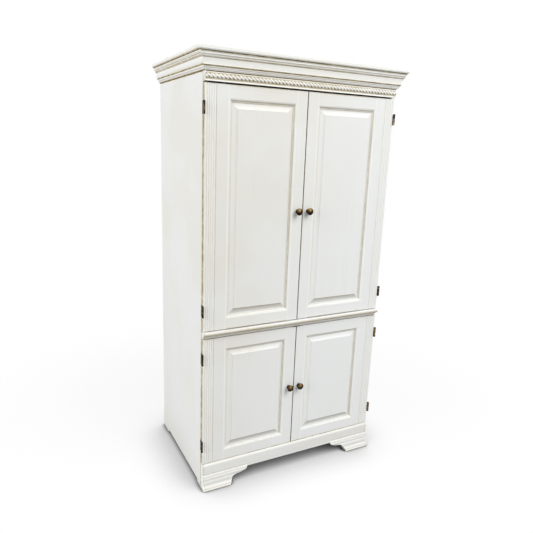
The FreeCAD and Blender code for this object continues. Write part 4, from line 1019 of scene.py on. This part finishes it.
def mix_shaders(tree, share, first, second):
    return place(tree, "MixShader", {0: share, 1: first, 2: second}).outputs[0]


def seen_by_camera(tree):
    """1 where the camera sees the surface directly or in a reflection."""
    path = place(tree, "LightPath").outputs
    mirrored = calc(tree, "MAXIMUM", path["Is Glossy Ray"], path["Is Transmission Ray"])
    return calc(tree, "MAXIMUM", path["Is Camera Ray"], mirrored)


def open_share(tree, distance, samples, *reach):
    """1 on open floor, less where something stands within a distance."""
    node = place(tree, "AmbientOcclusion", {"Distance": distance}, samples=samples)
    return remap(tree, node.outputs["AO"], *reach)


def floor_material(settings):
    """Pale floor, shown white with a soft contact shadow, that bounces less light. Near what stands on it the
    shadow is painted: ambient occlusion darkens the floor's colour and its glow.
    """
    tree, shader, own = start_material("pale_floor")
    fill(tree, shader, {"Roughness": 0.9, "Specular IOR Level": 0, "Base Color": settings.floor})
    # Painted shadow: ambient occlusion darkens the colour and the glow that the camera sees near what stands on the
    # floor.
    touch = open_share(tree, settings.touch, 16, 0.35, 1, 0.2, 1)
    open_sky = open_share(tree, settings.contact, 24, 0.02, 1)
    lit = place(tree, "BsdfDiffuse", {"Color": blend(tree, touch, (0, 0, 0, 1), (0.9, 0.9, 0.9, 1))})
    glow_with_painted_shadow = place(tree, "Emission", {"Color": times(tree, touch, open_sky)})
    white = place(tree, "Emission", {"Color": WHITE})
    shown = mix_shaders(tree, FLOOR_GLOW, lit.outputs[0], glow_with_painted_shadow.outputs[0])
    away = remap(tree, vector_calc(tree, "LENGTH", own["Object"])["Value"], *FLOOR_FADE)
    shown = mix_shaders(tree, away, shown, white.outputs[0])
    both = mix_shaders(tree, seen_by_camera(tree), shader.outputs[0], shown)
    fill(tree, tree.nodes["Material Output"], {"Surface": both})
    return bpy.data.materials["pale_floor"]


class ARMOIRE_OT_stage(bpy.types.Operator):
    """Set the floor, the light and the camera"""
    bl_idname = "armoire.stage"
    bl_label = "Stage"

    def execute(self, context):
        settings = context.scene.armoire_stage
        scene = context.scene
        scene.view_settings.view_transform = "Standard"
        mesh = bpy.data.meshes.new("floor")
        square = ((-1, -1), (1, -1), (1, 1), (-1, 1))
        mesh.from_pydata([(x * FLOOR_REACH, y * FLOOR_REACH, 0) for x, y in square], [], [(0, 1, 2, 3)])
        floor = add_object("floor", mesh)
        mesh.materials.append(floor_material(settings))

        world = bpy.data.worlds.new("studio")
        scene.world = world
        world.use_nodes = True
        tree = world.node_tree
        sky = tree.nodes["Background"]
        fill(tree, sky, {"Color": SKY_COLOUR, "Strength": settings.sky})
        white = place(tree, "Background", {"Color": WHITE, "Strength": 1})
        shown = mix_shaders(tree, seen_by_camera(tree), sky.outputs[0], white.outputs[0])
        fill(tree, tree.nodes["World Output"], {"Surface": shown})

        for name, spot, aim, size, colour in LIGHTS:
            light = bpy.data.lights.new(name, "AREA")
            light.energy, light.size, light.color = getattr(settings, name), size, colour
            lamp = add_object(name, light)
            lamp.location = spot
            lamp.rotation_euler = (Vector(spot) - Vector(aim)).to_track_quat("Z", "Y").to_euler()

        view = bpy.data.cameras.new("camera")
        view.sensor_width = 36
        view.sensor_fit = "HORIZONTAL"
        view.lens = settings.lens
        camera = add_object("camera", view)
        camera.matrix_world = Matrix.Translation(CAMERA_PLACE) @ camera_turn()
        scene.camera = camera
        return {"FINISHED"}


# ---- add-on
OPERATORS = (ARMOIRE_OT_stage, ARMOIRE_OT_crown, ARMOIRE_OT_frieze, ARMOIRE_OT_mid_moulding, ARMOIRE_OT_base,
             ARMOIRE_OT_doors, ARMOIRE_OT_knobs, ARMOIRE_OT_hinges, ARMOIRE_OT_carcass, ARMOIRE_OT_pull_outs)
SETTINGS = {"armoire_paint": PaintSettings, "armoire_moulding": MouldingSettings, "armoire_door": DoorSettings,
            "armoire_hardware": HardwareSettings, "armoire_stage": StageSettings}


class ARMOIRE_PT_panel(bpy.types.Panel):
    """Sizes, colours and build steps of the armoire"""
    bl_label = "Computer Armoire"
    bl_idname = "ARMOIRE_PT_panel"
    bl_space_type = "VIEW_3D"
    bl_region_type = "UI"
    bl_category = "Armoire"

    def draw(self, context):
        for name, group in SETTINGS.items():
            settings = getattr(context.scene, name)
            box = self.layout.box()
            for key in group.__annotations__:
                box.prop(settings, key)
        for operator in OPERATORS:
            self.layout.operator(operator.bl_idname)


CLASSES = (*SETTINGS.values(), *OPERATORS, ARMOIRE_PT_panel)


def register():
    for cls in CLASSES:
        bpy.utils.register_class(cls)
    for name, group in SETTINGS.items():
        setattr(bpy.types.Scene, name, bpy.props.PointerProperty(type=group))


def unregister():
    for name in SETTINGS:
        delattr(bpy.types.Scene, name)
    for cls in reversed(CLASSES):
        bpy.utils.unregister_class(cls)


def main():
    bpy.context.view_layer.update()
    register()
    make_materials()
    for operator in OPERATORS:
        group, name = operator.bl_idname.split(".")
        getattr(getattr(bpy.ops, group), name)()


if __name__ == "__main__":
    main()
